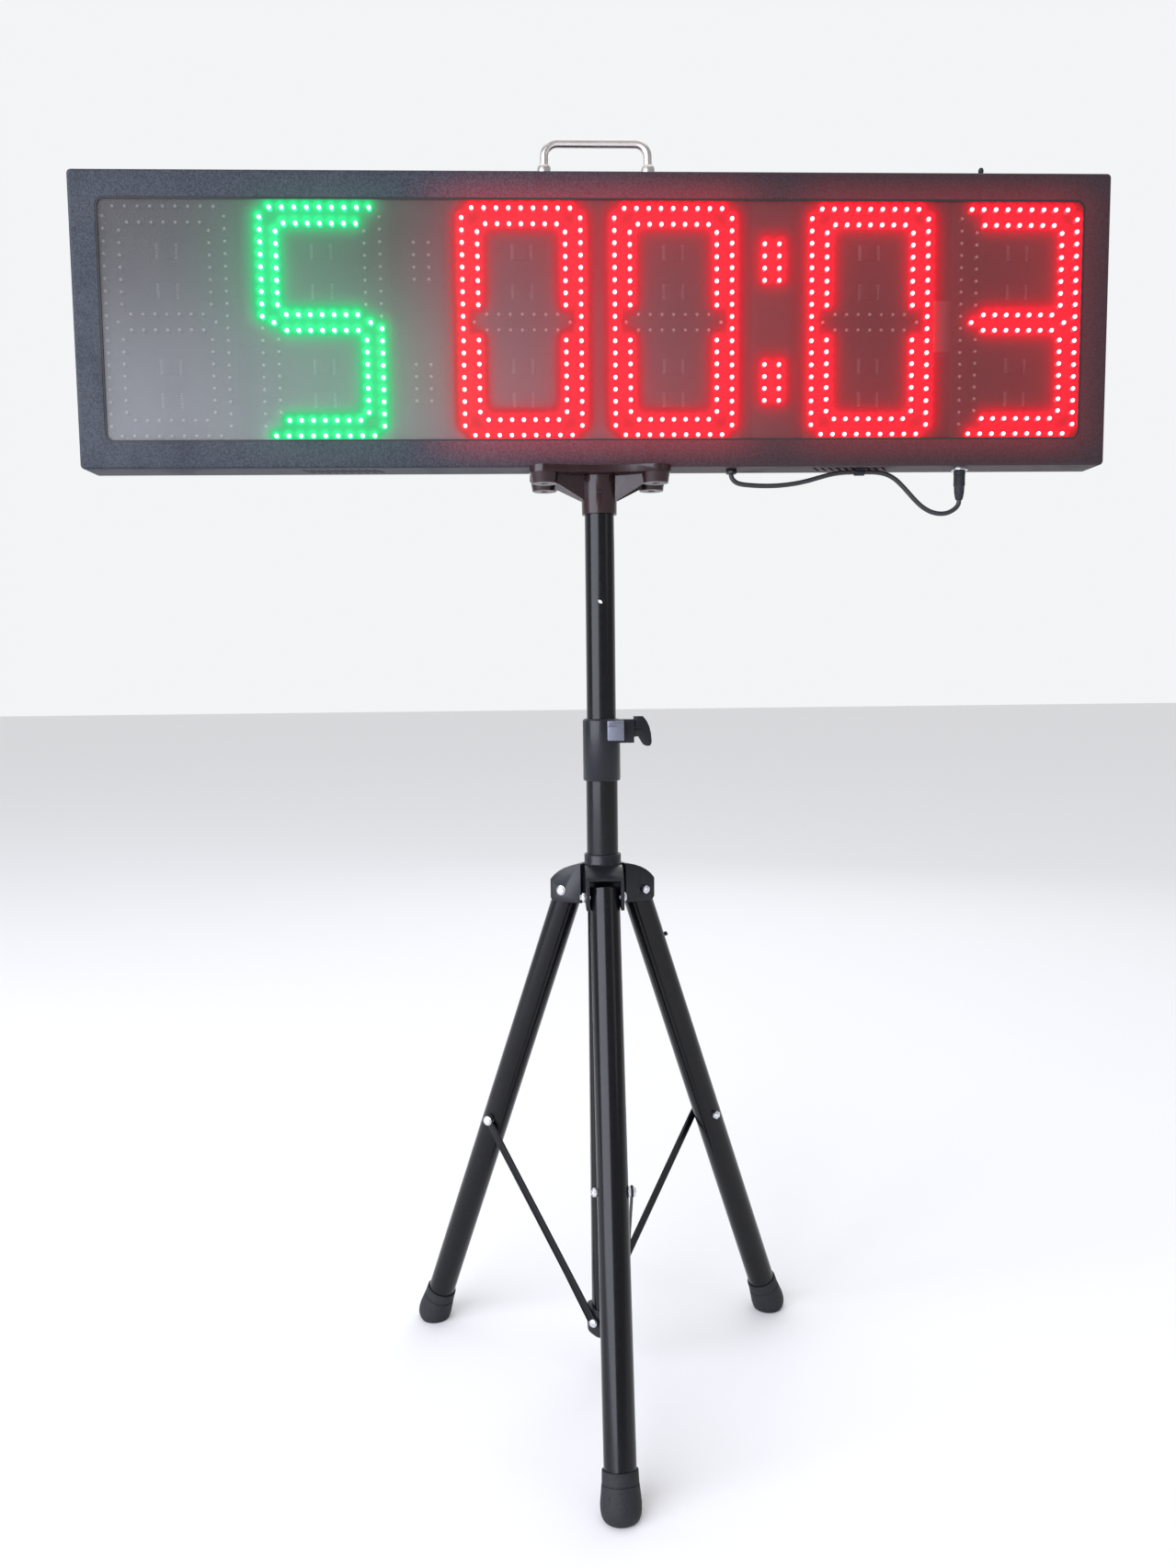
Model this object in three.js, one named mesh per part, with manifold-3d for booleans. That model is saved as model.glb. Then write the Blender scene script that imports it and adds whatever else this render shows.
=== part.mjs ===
// Six-digit LED round timer on a folding tripod stand with a telescopic pole.
// Millimetres, +Z up. The origin is on the floor, under the middle of the stand's footprint.
import * as THREE from 'three';
import { mergeVertices } from 'three/addons/utils/BufferGeometryUtils.js';
import Module from 'manifold-3d';

const wasm = await Module();
wasm.setup();

// ---------------------------------------------------------------- driving dimensions

// facets round a circle
const tubeSides = 24;
const mediumSides = 16;
const smallSides = 12;
const holeSides = 8;
const hexSides = 6;

// clearances
const gap = 0.3; // between pieces that touch or slide
const boltPlay = 0.3; // radial, round a shank

// display case
const caseWidth = 1190;
const caseHeight = 330;
const caseDepth = 46;
const caseSheet = 1.2;
const caseCornerRadius = 5;
const caseEdgeBend = 3;
const windowMargin = 30;
const windowCornerRadius = 10;
const filterThickness = 3;
const filterOverlap = 9; // filter behind the window edge
const coverFlange = caseDepth / 4;
const coverInnerRadius = 1;
const ventCount = 10;
const ventPitch = 9;
const ventWidth = 3.2;
const ventLength = 24;
const ventSlant = 0.5; // radians
const ventOffset = 299; // group centre from the case centre

// LED boards
const digitHeight = 254; // LED centre to LED centre
const digitWidth = 136;
const digitPitch = 175; // inside a pair
const pairPitch = 404; // pair centre to pair centre
const boardMargin = 9;
const boardThickness = 1.6;
const ledRoom = 10; // from the filter's back to the boards
const colonBoardWidth = 44;
const pillarRadius = 3;
const pillarInset = 8; // from a board's edge
const headerHeight = 8;
const headerDepth = 6;

// electronics on the rear cover
const controlBoardSize = [110, 1.6, 80];
const controlPillarHeight = 10;
const controlPillarInset = 5;
const chipHalf = 12;
const chipThickness = 3;
const supplyWidth = 150;
const supplyHeight = 58;
const supplyClearance = 2; // to the boards' headers
const sounderRadius = 20;
const sounderDepth = 16;
const sounderMouthRadius = 14;
const sounderMouthDepth = 5;
const soundHoleRadius = 1.8;
const soundHoleRing = 9;
const soundHoleCount = 6;
const switchSize = [30, 17, 22];
const switchInset = 110; // from the case's right side
const switchHeight = 58; // above the case's bottom
const switchRim = 1;
const switchRimThickness = 1.6;
const switchWellDepth = 8;
const rockerWidth = 22;
const rockerHeight = 15;
const rockerTilt = 0.12; // radians
const rockerDeep = 5.5; // below the cover's face
const rockerProud = 3.2; // above it

// carrying handle and antenna
const handleSpan = 120; // leg centre to leg centre
const handleHeight = 44;
const handleDiameter = 10;
const handleBend = 14;
const handleSteps = 28;
const handleSegments = 5;
const ferruleDiameter = 18;
const ferruleHeight = 14;
const ferruleTaper = 4;
const ferruleLip = 1.2;
const antennaOffset = 450;
const antennaDiameter = 6;
const antennaHeight = 14;
const antennaShoulder = 3;

// short lead under the case
const leadDiameter = 5.5;
const leadSteps = 40;
const leadSegments = 4;
const glandOffset = 157;
const glandDrop = 5;
const glandDiameter = 14;
const glandStep = 1; // thread radius below the nut's
const glandThread = 9; // thread length inside the case
const plugOffset = 431;
const plugDiameter = 13.6;
const plugLength = 34;
const socketFlange = 2;
const socketStep = 1; // barrel radius above the plug's
const socketDepth = 12;
const clipOffset = 310;
const clipWidth = 12;
const clipHalfDepth = 10;
const clipWall = 1.3;
const clipSeat = -3.4; // lead's centre line under the clip

// bracket between the case and the pole
const bracketThickness = 8;
const bossRadius = 17.5;
const bossX = 64.5;
const bossY = 29.5;
const bossDrop = 20;
const bossHoleRadius = 4.3;
const bossDraft = 3;
const hollowSide = 2; // how far the outline's long sides curve past the boss centres
const socketWall = 3.7;
const socketDraft = 0.6;
const socketDrop = 52;
const poleSeatDepth = 10.6;
const gussetThickness = 5;
const gussetRoot = 36;
const bracketScrewX = [-52, -34, 34, 52];
const bracketScrewDiameter = 6;
const bracketScrewReach = 12; // into the case
const bracketScrewHead = 5;
const grubHeight = 28;

// telescopic pole and mast
const poleDiameter = 35;
const poleWall = 1.5;
const poleLength = 744;
const poleExposed = 241; // between the clamp collar and the bracket
const pinHoleRadius = 3.3;
const pinHolePitch = 150;
const pinHoleFromTop = 143;
const pinHoleCount = 5;
const bushWall = 3;
const bushFlange = 6;
const bushSpigot = 18;
const mastDiameter = 38;
const mastWall = 1.2;
const mastTop = 796.5;
const collarBelow = 49; // collar length over the mast
const collarAbove = 25.5; // collar length over the pole
const collarWall = 3.2;
const clampBlockReach = 38.5;
const clampBlockWidth = 26;
const clampBlockHeight = 28;
const clampScrewRadius = 4;
const wingHalfThickness = 4.5;
const wingBossRadius = 8;
const wingBossEnd = 6.5;
const wingBossLength = 9;

// tripod
const legAzimuths = { left: 150, right: 30, front: -90 }; // degrees
const legDiameter = 35;
const legWall = 1.5;
const legLength = 652; // pivot to floor
const legAngle = THREE.MathUtils.degToRad(20);
const legHead = 9; // tube above its pivot
const hubPivotRadius = 46;
const cheekThickness = 4;
const hubReach = 61;
const hubSleeveHeight = 46; // above the pivots
const hubSkirt = 14; // below the pivots
const hubWall = 4.5;
const hubArmEnd = 13; // flat end's height above the pivots
const hubArmRoot = 34; // arm's top where it meets the sleeve
const lockBossHeight = 8;
const lockBossRadius = 9;
const lockBossReach = 42;
const pivotPlay = 0.8; // leg to hub cheek
const pivotBoltRadius = 3;
const boltHeadRadius = 6;
const boltHeadHeight = 3.4;
const boltCrownRadius = 4;
const nutRadius = 5.4;
const nutThickness = 4.6;
const boltEnd = 7; // shank past the nut's seat
const footRadius = 22;
const footCentreHeight = 16; // dome centre above the floor, along the leg
const footLength = 47;
const footTopRadius = 19.4;
const footRings = 5;
const footOverTube = 3; // tube past the dome's centre
const braceBoltAlong = 330; // from the leg pivot
const braceLength = 279;
const braceWidth = 10;
const braceEyeRadius = 7;
const braceThickness = 2.5;
const braceOffset = 20; // brace's inner face from the leg's middle plane
const rivetRadius = 5.5;
const rivetCrown = 3.5;
const rivetHead = 2.6;
const lowerPivotRadius = 8;
const lowerHubRadius = 25;
const lowerHubBelow = 19; // below its pivots
const lowerHubAbove = 16;
const lowerSpigot = 20;
const lowerHubEdge = 5;
const studAlong = 78;
const studRadius = 3;
const studLength = 6;
const studHead = 2.5;
const studNeck = 0.8; // shank radius below the head's

// ---------------------------------------------------------------- derived places

const mastRadius = mastDiameter / 2;
const poleRadius = poleDiameter / 2;
const legRadius = legDiameter / 2;
const pivotHeight = legLength * Math.cos(legAngle);
const footReach = hubPivotRadius + legLength * Math.sin(legAngle);
const braceBoltRadial = hubPivotRadius + braceBoltAlong * Math.sin(legAngle);
const braceBoltHeight = pivotHeight - braceBoltAlong * Math.cos(legAngle);
const braceAngle = Math.asin((braceBoltRadial - lowerPivotRadius) / braceLength);
const lowerPivotHeight = braceBoltHeight - braceLength * Math.cos(braceAngle);
const lowerHubTop = lowerPivotHeight + lowerHubAbove;
const collarTop = mastTop + collarAbove;
const socketBottom = collarTop + poleExposed;
const caseBottom = socketBottom + socketDrop;
const poleTop = caseBottom - poleSeatDepth;
const poleBottom = poleTop - poleLength;
const clampScrewHeight = collarTop - clampBlockHeight / 2 - 1;

const frontFace = -caseDepth / 2;
const rearFace = caseDepth / 2;
const filterFront = frontFace + caseSheet + gap;
const boardFront = filterFront + filterThickness + ledRoom;
const boardBack = boardFront + boardThickness;
const coverInner = rearFace - caseSheet;
const caseMiddle = caseHeight / 2;
const boardWidth = digitWidth + 2 * boardMargin;
const boardHeight = digitHeight + 2 * boardMargin;
const digitCentres = [-1, 0, 1].flatMap((pair) => [
  pair * pairPitch - digitPitch / 2,
  pair * pairPitch + digitPitch / 2,
]);
const colonCentres = [-pairPitch / 2, pairPitch / 2];

// the front foot reaches further from the mast than the two rear feet do
const footOut = footReach - footCentreHeight * Math.sin(legAngle) + footRadius;
const footBack = (footReach - footCentreHeight * Math.sin(legAngle)) / 2 + footRadius;
const mastSetback = (footOut - footBack) / 2;

// ---------------------------------------------------------------- shape helpers

/** A closed three.js geometry as a manifold solid with its faces outward. */
function solid(geometry) {
  const bare = geometry.clone();
  bare.deleteAttribute('normal');
  bare.deleteAttribute('uv');
  const merged = mergeVertices(bare);
  const corners = merged.index.array;
  const triangles = [];
  for (let i = 0; i < corners.length; i += 3) {
    const [a, b, c] = [corners[i], corners[i + 1], corners[i + 2]];
    if (a !== b && b !== c && c !== a) triangles.push(a, b, c);
  }
  const build = (triVerts) => new wasm.Manifold(new wasm.Mesh({
    numProp: 3,
    vertProperties: new Float32Array(merged.attributes.position.array),
    triVerts: new Uint32Array(triVerts),
  }));
  const body = build(triangles);
  return body.volume() > 0 ? body : build(triangles.toReversed());
}

/** The solid as a BufferGeometry with flat normals. */
function surface(body) {
  const mesh = body.getMesh();
  const geometry = new THREE.BufferGeometry();
  geometry.setAttribute('position', new THREE.BufferAttribute(mesh.vertProperties, 3));
  geometry.setIndex(new THREE.BufferAttribute(mesh.triVerts, 1));
  const flat = geometry.toNonIndexed();
  flat.computeVertexNormals();
  return flat;
}

/** A box from its lowest corner to its highest corner. */
function block(low, high) {
  const size = high.map((value, i) => value - low[i]);
  const box = new THREE.BoxGeometry(...size);
  box.translate(...low.map((value, i) => value + size[i] / 2));
  return solid(box);
}

/** A round bar along one axis, from start to end on it, centred on (u, v) of the other two. */
function bar(axis, radius, start, end, [u, v] = [0, 0], sides = tubeSides, endRadius = radius) {
  const geometry = new THREE.CylinderGeometry(endRadius, radius, end - start, sides);
  const middle = (start + end) / 2;
  if (axis === 'x') {
    geometry.rotateZ(-Math.PI / 2);
    geometry.translate(middle, u, v);
  } else if (axis === 'y') {
    geometry.translate(u, middle, v);
  } else {
    geometry.rotateX(Math.PI / 2);
    geometry.translate(u, v, middle);
  }
  return solid(geometry);
}

/** A turned piece about Z from [radius, height] points. */
function turned(profile, sides = tubeSides) {
  const points = profile.map(([radius, height]) => new THREE.Vector2(radius, height));
  const geometry = new THREE.LatheGeometry(points, sides);
  geometry.rotateX(Math.PI / 2);
  return solid(geometry);
}

/** A tube about Z. */
function tube(outer, inner, bottom, top, sides = tubeSides) {
  return turned([[inner, bottom], [outer, bottom], [outer, top], [inner, top], [inner, bottom]], sides);
}

/** A rounded rectangle outline centred on the origin. */
function roundedOutline(width, height, radius) {
  const [x, y] = [width / 2, height / 2];
  const outline = new THREE.Shape();
  outline.moveTo(-x + radius, -y);
  outline.lineTo(x - radius, -y);
  outline.absarc(x - radius, -y + radius, radius, -Math.PI / 2, 0);
  outline.lineTo(x, y - radius);
  outline.absarc(x - radius, y - radius, radius, 0, Math.PI / 2);
  outline.lineTo(-x + radius, y);
  outline.absarc(-x + radius, y - radius, radius, Math.PI / 2, Math.PI);
  outline.lineTo(-x, -y + radius);
  outline.absarc(-x + radius, -y + radius, radius, Math.PI, 1.5 * Math.PI);
  return outline;
}

/** An outline in X and Z, extruded along Y from front to back and lifted to the case's middle. */
function casePlate(outline, front, back, bevel = 0) {
  const geometry = new THREE.ExtrudeGeometry(outline, {
    depth: back - front - bevel,
    curveSegments: 3,
    bevelEnabled: bevel > 0,
    bevelThickness: bevel,
    bevelSize: bevel,
    bevelOffset: -bevel,
    bevelSegments: 2,
  });
  geometry.rotateX(Math.PI / 2);
  geometry.translate(0, back, caseMiddle);
  return solid(geometry);
}

/** An outline in X and Z, extruded along Y from front to back. */
function plateAlongY(outline, front, back, curveSegments = 8) {
  const geometry = new THREE.ExtrudeGeometry(outline, {
    depth: back - front,
    curveSegments,
    bevelEnabled: false,
  });
  geometry.rotateX(Math.PI / 2);
  geometry.translate(0, back, 0);
  return solid(geometry);
}

/** A round bar along a smooth path. */
function barAlong(path, diameter, steps, sides) {
  const section = new THREE.Shape().absarc(0, 0, diameter / 2, 0, 2 * Math.PI);
  const geometry = new THREE.ExtrudeGeometry(section, {
    steps,
    curveSegments: sides,
    extrudePath: path,
  });
  return solid(geometry);
}

const join = (bodies) => bodies.reduce((whole, body) => whole.add(body));
const cut = (body, tools) => tools.reduce((rest, tool) => rest.subtract(tool), body);

// ---------------------------------------------------------------- finishes

const finish = (color, roughness, metalness) => ({ color, roughness, metalness });
const finishes = {
  caseCoat: finish(0x24262b, 0.62, 0.2),
  filter: finish(0x3a3d42, 0.15, 0),
  board: finish(0x15181a, 0.5, 0),
  supply: finish(0x9aa0a4, 0.4, 0.8),
  plastic: finish(0x141416, 0.42, 0),
  rubber: finish(0x0d0d0e, 0.8, 0),
  nickel: finish(0xb9b2ae, 0.3, 0.9),
  zinc: finish(0xc4c7c9, 0.35, 0.9),
  tubeGloss: finish(0x101216, 0.22, 0.3),
  cable: finish(0x111112, 0.6, 0),
};

/** Adds one named piece to a group. */
function addPiece(group, name, body, look) {
  const mesh = new THREE.Mesh(surface(body), new THREE.MeshStandardMaterial(finishes[look]));
  mesh.name = name;
  group.add(mesh);
}

// ---------------------------------------------------------------- display case

/** Slanted slots through the case's bottom, in two groups. */
function ventCuts() {
  const cuts = [];
  for (const side of [-1, 1]) {
    for (let i = 0; i < ventCount; i += 1) {
      const slot = new THREE.BoxGeometry(ventWidth, ventLength, 4 * caseSheet);
      slot.rotateZ(-ventSlant);
      slot.translate(side * ventOffset + (i - (ventCount - 1) / 2) * ventPitch, 0, 0);
      cuts.push(solid(slot));
    }
  }
  return cuts;
}

function frontBezel() {
  const outer = casePlate(
    roundedOutline(caseWidth, caseHeight, caseCornerRadius), frontFace, rearFace, caseEdgeBend);
  const rearBevel = block(
    [-caseWidth, rearFace, -caseHeight],
    [caseWidth, rearFace + 2 * caseEdgeBend, 2 * caseHeight]);
  const hollow = casePlate(
    roundedOutline(caseWidth - 2 * caseSheet, caseHeight - 2 * caseSheet, caseCornerRadius - caseSheet),
    frontFace + caseSheet, rearFace + caseSheet);
  const opening = casePlate(
    roundedOutline(caseWidth - 2 * windowMargin, caseHeight - 2 * windowMargin, windowCornerRadius),
    frontFace - caseSheet, frontFace + 2 * caseSheet);
  const screwHoles = bracketScrewX.map((x) =>
    bar('z', bracketScrewDiameter / 2 + boltPlay, -caseSheet, 2 * caseSheet, [x, 0], holeSides));
  const bottomHole = (radius, x) =>
    bar('z', radius + gap, -caseSheet, 2 * caseSheet, [x, 0], smallSides);
  return cut(outer, [
    rearBevel, hollow, opening, ...screwHoles, ...ventCuts(),
    bottomHole(glandDiameter / 2 - glandStep, glandOffset),
    bottomHole(plugDiameter / 2 + socketStep, plugOffset),
  ]);
}

/** The rear cover: a shallow tray with pillars for the boards, a switch opening and sound holes. */
function rearCover() {
  const inset = caseSheet + gap;
  const outer = casePlate(
    roundedOutline(caseWidth - 2 * inset, caseHeight - 2 * inset, caseCornerRadius - inset),
    coverInner - coverFlange, rearFace);
  const hollow = casePlate(
    roundedOutline(
      caseWidth - 2 * inset - 2 * caseSheet, caseHeight - 2 * inset - 2 * caseSheet, coverInnerRadius),
    coverInner - 2 * coverFlange, coverInner);
  const pillars = [];
  const raise = (x, z, tip) =>
    pillars.push(bar('y', pillarRadius, tip, coverInner + gap, [x, z], hexSides));
  const rise = boardHeight / 2 - pillarInset;
  for (const x of digitCentres) {
    for (const side of [-1, 1]) {
      for (const level of [-1, 1]) {
        raise(x + side * (boardWidth / 2 - pillarInset), caseMiddle + level * rise, boardBack + gap);
      }
    }
  }
  for (const x of colonCentres) {
    for (const level of [-1, 1]) {
      raise(x, caseMiddle + level * rise, boardBack + gap);
    }
  }
  const [controlWidth, , controlHeight] = controlBoardSize;
  for (const side of [-1, 1]) {
    for (const level of [-1, 1]) {
      raise(
        side * (controlWidth / 2 - controlPillarInset),
        caseMiddle + level * (controlHeight / 2 - controlPillarInset),
        coverInner - controlPillarHeight);
    }
  }
  const switchX = caseWidth / 2 - switchInset;
  const [halfWidth, halfHeight] = [switchSize[0], switchSize[2]].map(
    (length) => length / 2 - switchRim + gap);
  const switchCut = block(
    [switchX - halfWidth, coverInner - gap, switchHeight - halfHeight],
    [switchX + halfWidth, rearFace + gap, switchHeight + halfHeight]);
  const soundHoles = [];
  for (let i = 0; i < soundHoleCount; i += 1) {
    const turn = (i / soundHoleCount) * 2 * Math.PI;
    const x = -pairPitch + soundHoleRing * Math.cos(turn);
    const z = caseMiddle + soundHoleRing * Math.sin(turn);
    soundHoles.push(bar('y', soundHoleRadius, coverInner - gap, rearFace + gap, [x, z], hexSides));
  }
  return cut(join([cut(outer, [hollow]), ...pillars]), [switchCut, ...soundHoles]);
}

/** A board with a row of sockets on its back, centred on x. */
function ledBoard(x, width) {
  const plate = block(
    [x - width / 2, boardFront, caseMiddle - boardHeight / 2],
    [x + width / 2, boardBack, caseMiddle + boardHeight / 2]);
  const header = block(
    [x - width / 8, boardBack - gap, caseMiddle - headerHeight / 2],
    [x + width / 8, boardBack + headerDepth, caseMiddle + headerHeight / 2]);
  return plate.add(header);
}

function addElectronics(display) {
  digitCentres.forEach((x, i) =>
    addPiece(display, `digit_board_${i + 1}`, ledBoard(x, boardWidth), 'board'));
  colonCentres.forEach((x, i) =>
    addPiece(display, `colon_board_${i + 1}`, ledBoard(x, colonBoardWidth), 'board'));
  const [controlWidth, controlThickness, controlHeight] = controlBoardSize;
  const controlBack = coverInner - controlPillarHeight - gap;
  const control = block(
    [-controlWidth / 2, controlBack - controlThickness, caseMiddle - controlHeight / 2],
    [controlWidth / 2, controlBack, caseMiddle + controlHeight / 2]);
  const chip = block(
    [-chipHalf, controlBack - gap, caseMiddle - chipHalf],
    [chipHalf, controlBack + chipThickness, caseMiddle + chipHalf]);
  addPiece(display, 'control_board', control.add(chip), 'board');
  const supplyX = pairPitch;
  addPiece(display, 'power_supply', block(
    [supplyX - supplyWidth / 2, boardBack + headerDepth + supplyClearance, caseMiddle - supplyHeight / 2],
    [supplyX + supplyWidth / 2, coverInner - gap, caseMiddle + supplyHeight / 2]), 'supply');
  const sounderFront = coverInner - gap - sounderDepth;
  const can = bar('y', sounderRadius, sounderFront, coverInner - gap, [-pairPitch, caseMiddle]);
  const mouth = bar(
    'y', sounderMouthRadius, coverInner - sounderMouthDepth, coverInner, [-pairPitch, caseMiddle]);
  addPiece(display, 'sounder', cut(can, [mouth]), 'plastic');
}

/** A rocker switch in the rear cover: its body, and the rocker at its ON stop. */
function addSwitch(display) {
  const x = caseWidth / 2 - switchInset;
  const [width, depth, height] = switchSize;
  const rimFace = rearFace + gap;
  const rim = block(
    [x - width / 2, rimFace, switchHeight - height / 2],
    [x + width / 2, rimFace + switchRimThickness, switchHeight + height / 2]);
  const body = block(
    [x - width / 2 + switchRim, rearFace - depth, switchHeight - height / 2 + switchRim],
    [x + width / 2 - switchRim, rimFace + gap, switchHeight + height / 2 - switchRim]);
  const well = block(
    [x - rockerWidth / 2 - gap, rearFace - switchWellDepth, switchHeight - rockerHeight / 2 - 2 * gap],
    [x + rockerWidth / 2 + gap, rearFace + depth, switchHeight + rockerHeight / 2 + 2 * gap]);
  addPiece(display, 'switch_body', cut(rim.add(body), [well]), 'plastic');
  // seen from the side, two flats meet in a shallow V at the rocker's middle
  const half = rockerHeight / 2 - gap;
  const crown = half * Math.tan(rockerTilt);
  const side = new THREE.Shape();
  side.moveTo(-half, -rockerDeep);
  side.lineTo(half, -rockerDeep);
  side.lineTo(half, rockerProud + crown);
  side.lineTo(0, rockerProud);
  side.lineTo(-half, rockerProud + crown);
  side.closePath();
  const geometry = new THREE.ExtrudeGeometry(side, { depth: rockerWidth, bevelEnabled: false });
  // outline x runs up (+Z), outline y runs out of the cover (+Y), the depth runs along X
  geometry.applyMatrix4(new THREE.Matrix4().makeBasis(
    new THREE.Vector3(0, 0, 1), new THREE.Vector3(0, 1, 0), new THREE.Vector3(1, 0, 0)));
  geometry.translate(-rockerWidth / 2, 0, 0);
  geometry.rotateX(rockerTilt);
  geometry.translate(x, rearFace, switchHeight);
  addPiece(display, 'switch_rocker', solid(geometry), 'plastic');
}

function addHandle(display) {
  const top = caseHeight + handleHeight - handleDiameter / 2;
  const foot = caseHeight + gap;
  const half = handleSpan / 2;
  const path = new THREE.CurvePath();
  const corner = (x, z) => new THREE.Vector3(x, 0, z);
  path.add(new THREE.LineCurve3(corner(-half, foot), corner(-half, top - handleBend)));
  path.add(new THREE.QuadraticBezierCurve3(
    corner(-half, top - handleBend), corner(-half, top), corner(-half + handleBend, top)));
  path.add(new THREE.LineCurve3(corner(-half + handleBend, top), corner(half - handleBend, top)));
  path.add(new THREE.QuadraticBezierCurve3(
    corner(half - handleBend, top), corner(half, top), corner(half, top - handleBend)));
  path.add(new THREE.LineCurve3(corner(half, top - handleBend), corner(half, foot)));
  const rod = barAlong(path, handleDiameter, handleSteps, handleSegments);
  addPiece(display, 'carry_handle', rod, 'nickel');
  for (const [name, x] of [['left', -half], ['right', half]]) {
    const bore = handleDiameter / 2 + gap;
    const outer = ferruleDiameter / 2;
    const rim = foot + ferruleHeight;
    const ferrule = turned([
      [bore, foot], [outer, foot], [outer, rim - ferruleTaper],
      [bore + ferruleLip, rim], [bore, rim], [bore, foot]], mediumSides);
    addPiece(display, `handle_ferrule_${name}`, ferrule.translate([x, 0, 0]), 'nickel');
  }
}

function addAntenna(display) {
  const radius = antennaDiameter / 2;
  const foot = caseHeight + gap;
  const stub = turned([
    [0, foot], [radius, foot], [radius, foot + antennaHeight - antennaShoulder],
    [radius / 2, foot + antennaHeight], [0, foot + antennaHeight]], smallSides);
  addPiece(display, 'receiver_antenna', stub.translate([antennaOffset, 0, 0]), 'rubber');
}

// ---------------------------------------------------------------- short lead under the case

/** Points of the lead below the case bottom, from the gland to the plug. */
function leadRoute() {
  const points = [
    [157, 0, -5.4], [157, 0, -7], [158, 0, -10], [160.4, 0, -13], [164.2, 0, -15.5], [169.5, 0, -17],
    [180, 0, -18.2], [196, 0, -19], [214, 0, -18.6], [232, 0, -16.6], [248, 0, -13.4],
    [262, 0, -9.6], [276, 0, -6], [290, 0, -3.9], [304, 0, -3.4], [318, 0, -3.4],
    [331, 0, -3.8], [343, 0, -6.3], [353, 0, -11.6], [361, 0, -18.6], [369, 0, -27],
    [378, 0, -36.6], [387, 0, -44.6], [397, 0, -50.2], [407.5, 0, -52.6], [417.5, 0, -51.6],
    [425.3, 0, -47.6], [429.4, 0, -43.4], [430.9, 0, -39.6], [431, 0, -37]];
  return new THREE.CatmullRomCurve3(points.map((point) => new THREE.Vector3(...point)));
}

function addLead(display) {
  const gland = join([
    bar('z', glandDiameter / 2, -glandDrop, -gap, [glandOffset, 0], hexSides),
    bar('z', glandDiameter / 2 - glandStep, -2 * gap, glandThread, [glandOffset, 0], smallSides)]);
  addPiece(display, 'lead_gland', gland, 'plastic');
  const barrel = plugDiameter / 2 + socketStep;
  const outlet = join([
    bar('z', barrel + socketFlange, -gap - socketFlange, -gap, [plugOffset, 0], mediumSides),
    bar('z', barrel, -2 * gap, socketDepth, [plugOffset, 0], mediumSides)]);
  addPiece(display, 'lead_socket', outlet, 'zinc');
  const plugTop = -2 * gap - socketFlange;
  const radius = plugDiameter / 2;
  const plug = turned([
    [0, plugTop], [radius, plugTop], [radius, plugTop - plugLength * 0.45],
    [radius * 0.88, plugTop - plugLength * 0.5], [radius * 0.82, plugTop - plugLength * 0.85],
    [radius * 0.56, plugTop - plugLength], [0, plugTop - plugLength]], mediumSides);
  addPiece(display, 'lead_plug', plug.translate([plugOffset, 0, 0]), 'rubber');
  addPiece(display, 'bridge_lead', barAlong(leadRoute(), leadDiameter, leadSteps, leadSegments), 'cable');
  const lead = leadDiameter / 2 + gap;
  const tab = [clipOffset - clipWidth / 2, clipOffset + clipWidth / 2];
  const past = [clipOffset - clipWidth, clipOffset + clipWidth];
  const strap = join([
    bar('x', lead + clipWall, ...tab, [0, clipSeat], smallSides),
    block([tab[0], -clipHalfDepth, -gap - clipWall], [tab[1], clipHalfDepth, -gap])]);
  const channel = join([
    bar('x', lead, ...past, [0, clipSeat], smallSides),
    block([past[0], -lead, clipSeat], [past[1], lead, clipHalfDepth])]);
  const above = block([past[0], -2 * clipHalfDepth, -gap], [past[1], 2 * clipHalfDepth, clipHalfDepth]);
  addPiece(display, 'lead_clip', cut(strap, [channel, above]), 'plastic');
}

// ---------------------------------------------------------------- bracket

/** The bracket's four-armed outline: round arm ends joined by hollow sides. */
function bracketOutline() {
  const outline = new THREE.Shape();
  const [x, y, r] = [bossX, bossY, bossRadius];
  outline.moveTo(-x, -y - r);
  outline.quadraticCurveTo(0, -y + hollowSide, x, -y - r);
  outline.absarc(x, -y, r, -Math.PI / 2, 0);
  outline.quadraticCurveTo(x - r, 0, x + r, y);
  outline.absarc(x, y, r, 0, Math.PI / 2);
  outline.quadraticCurveTo(0, y - hollowSide, -x, y + r);
  outline.absarc(-x, y, r, Math.PI / 2, Math.PI);
  outline.quadraticCurveTo(-x + r, 0, -x - r, -y);
  outline.absarc(-x, -y, r, Math.PI, 1.5 * Math.PI);
  return outline;
}

/** An upright web from the socket out to one boss. */
function gusset(signX, signY) {
  const reach = Math.hypot(bossX, bossY);
  const web = new THREE.Shape();
  web.moveTo(poleRadius + 2 * gap, -2 * gap);
  web.lineTo(reach, -2 * gap);
  web.lineTo(reach, gap - bossDrop);
  web.lineTo(reach - bossRadius, gap - bossDrop);
  web.lineTo(poleRadius + socketWall, -gussetRoot);
  web.lineTo(poleRadius + 2 * gap, -gussetRoot);
  web.closePath();
  const plate = new THREE.ExtrudeGeometry(web, { depth: gussetThickness, bevelEnabled: false });
  plate.translate(0, 0, -gussetThickness / 2);
  plate.rotateX(Math.PI / 2);
  plate.rotateZ(Math.atan2(signY * bossY, signX * bossX));
  return solid(plate);
}

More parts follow.
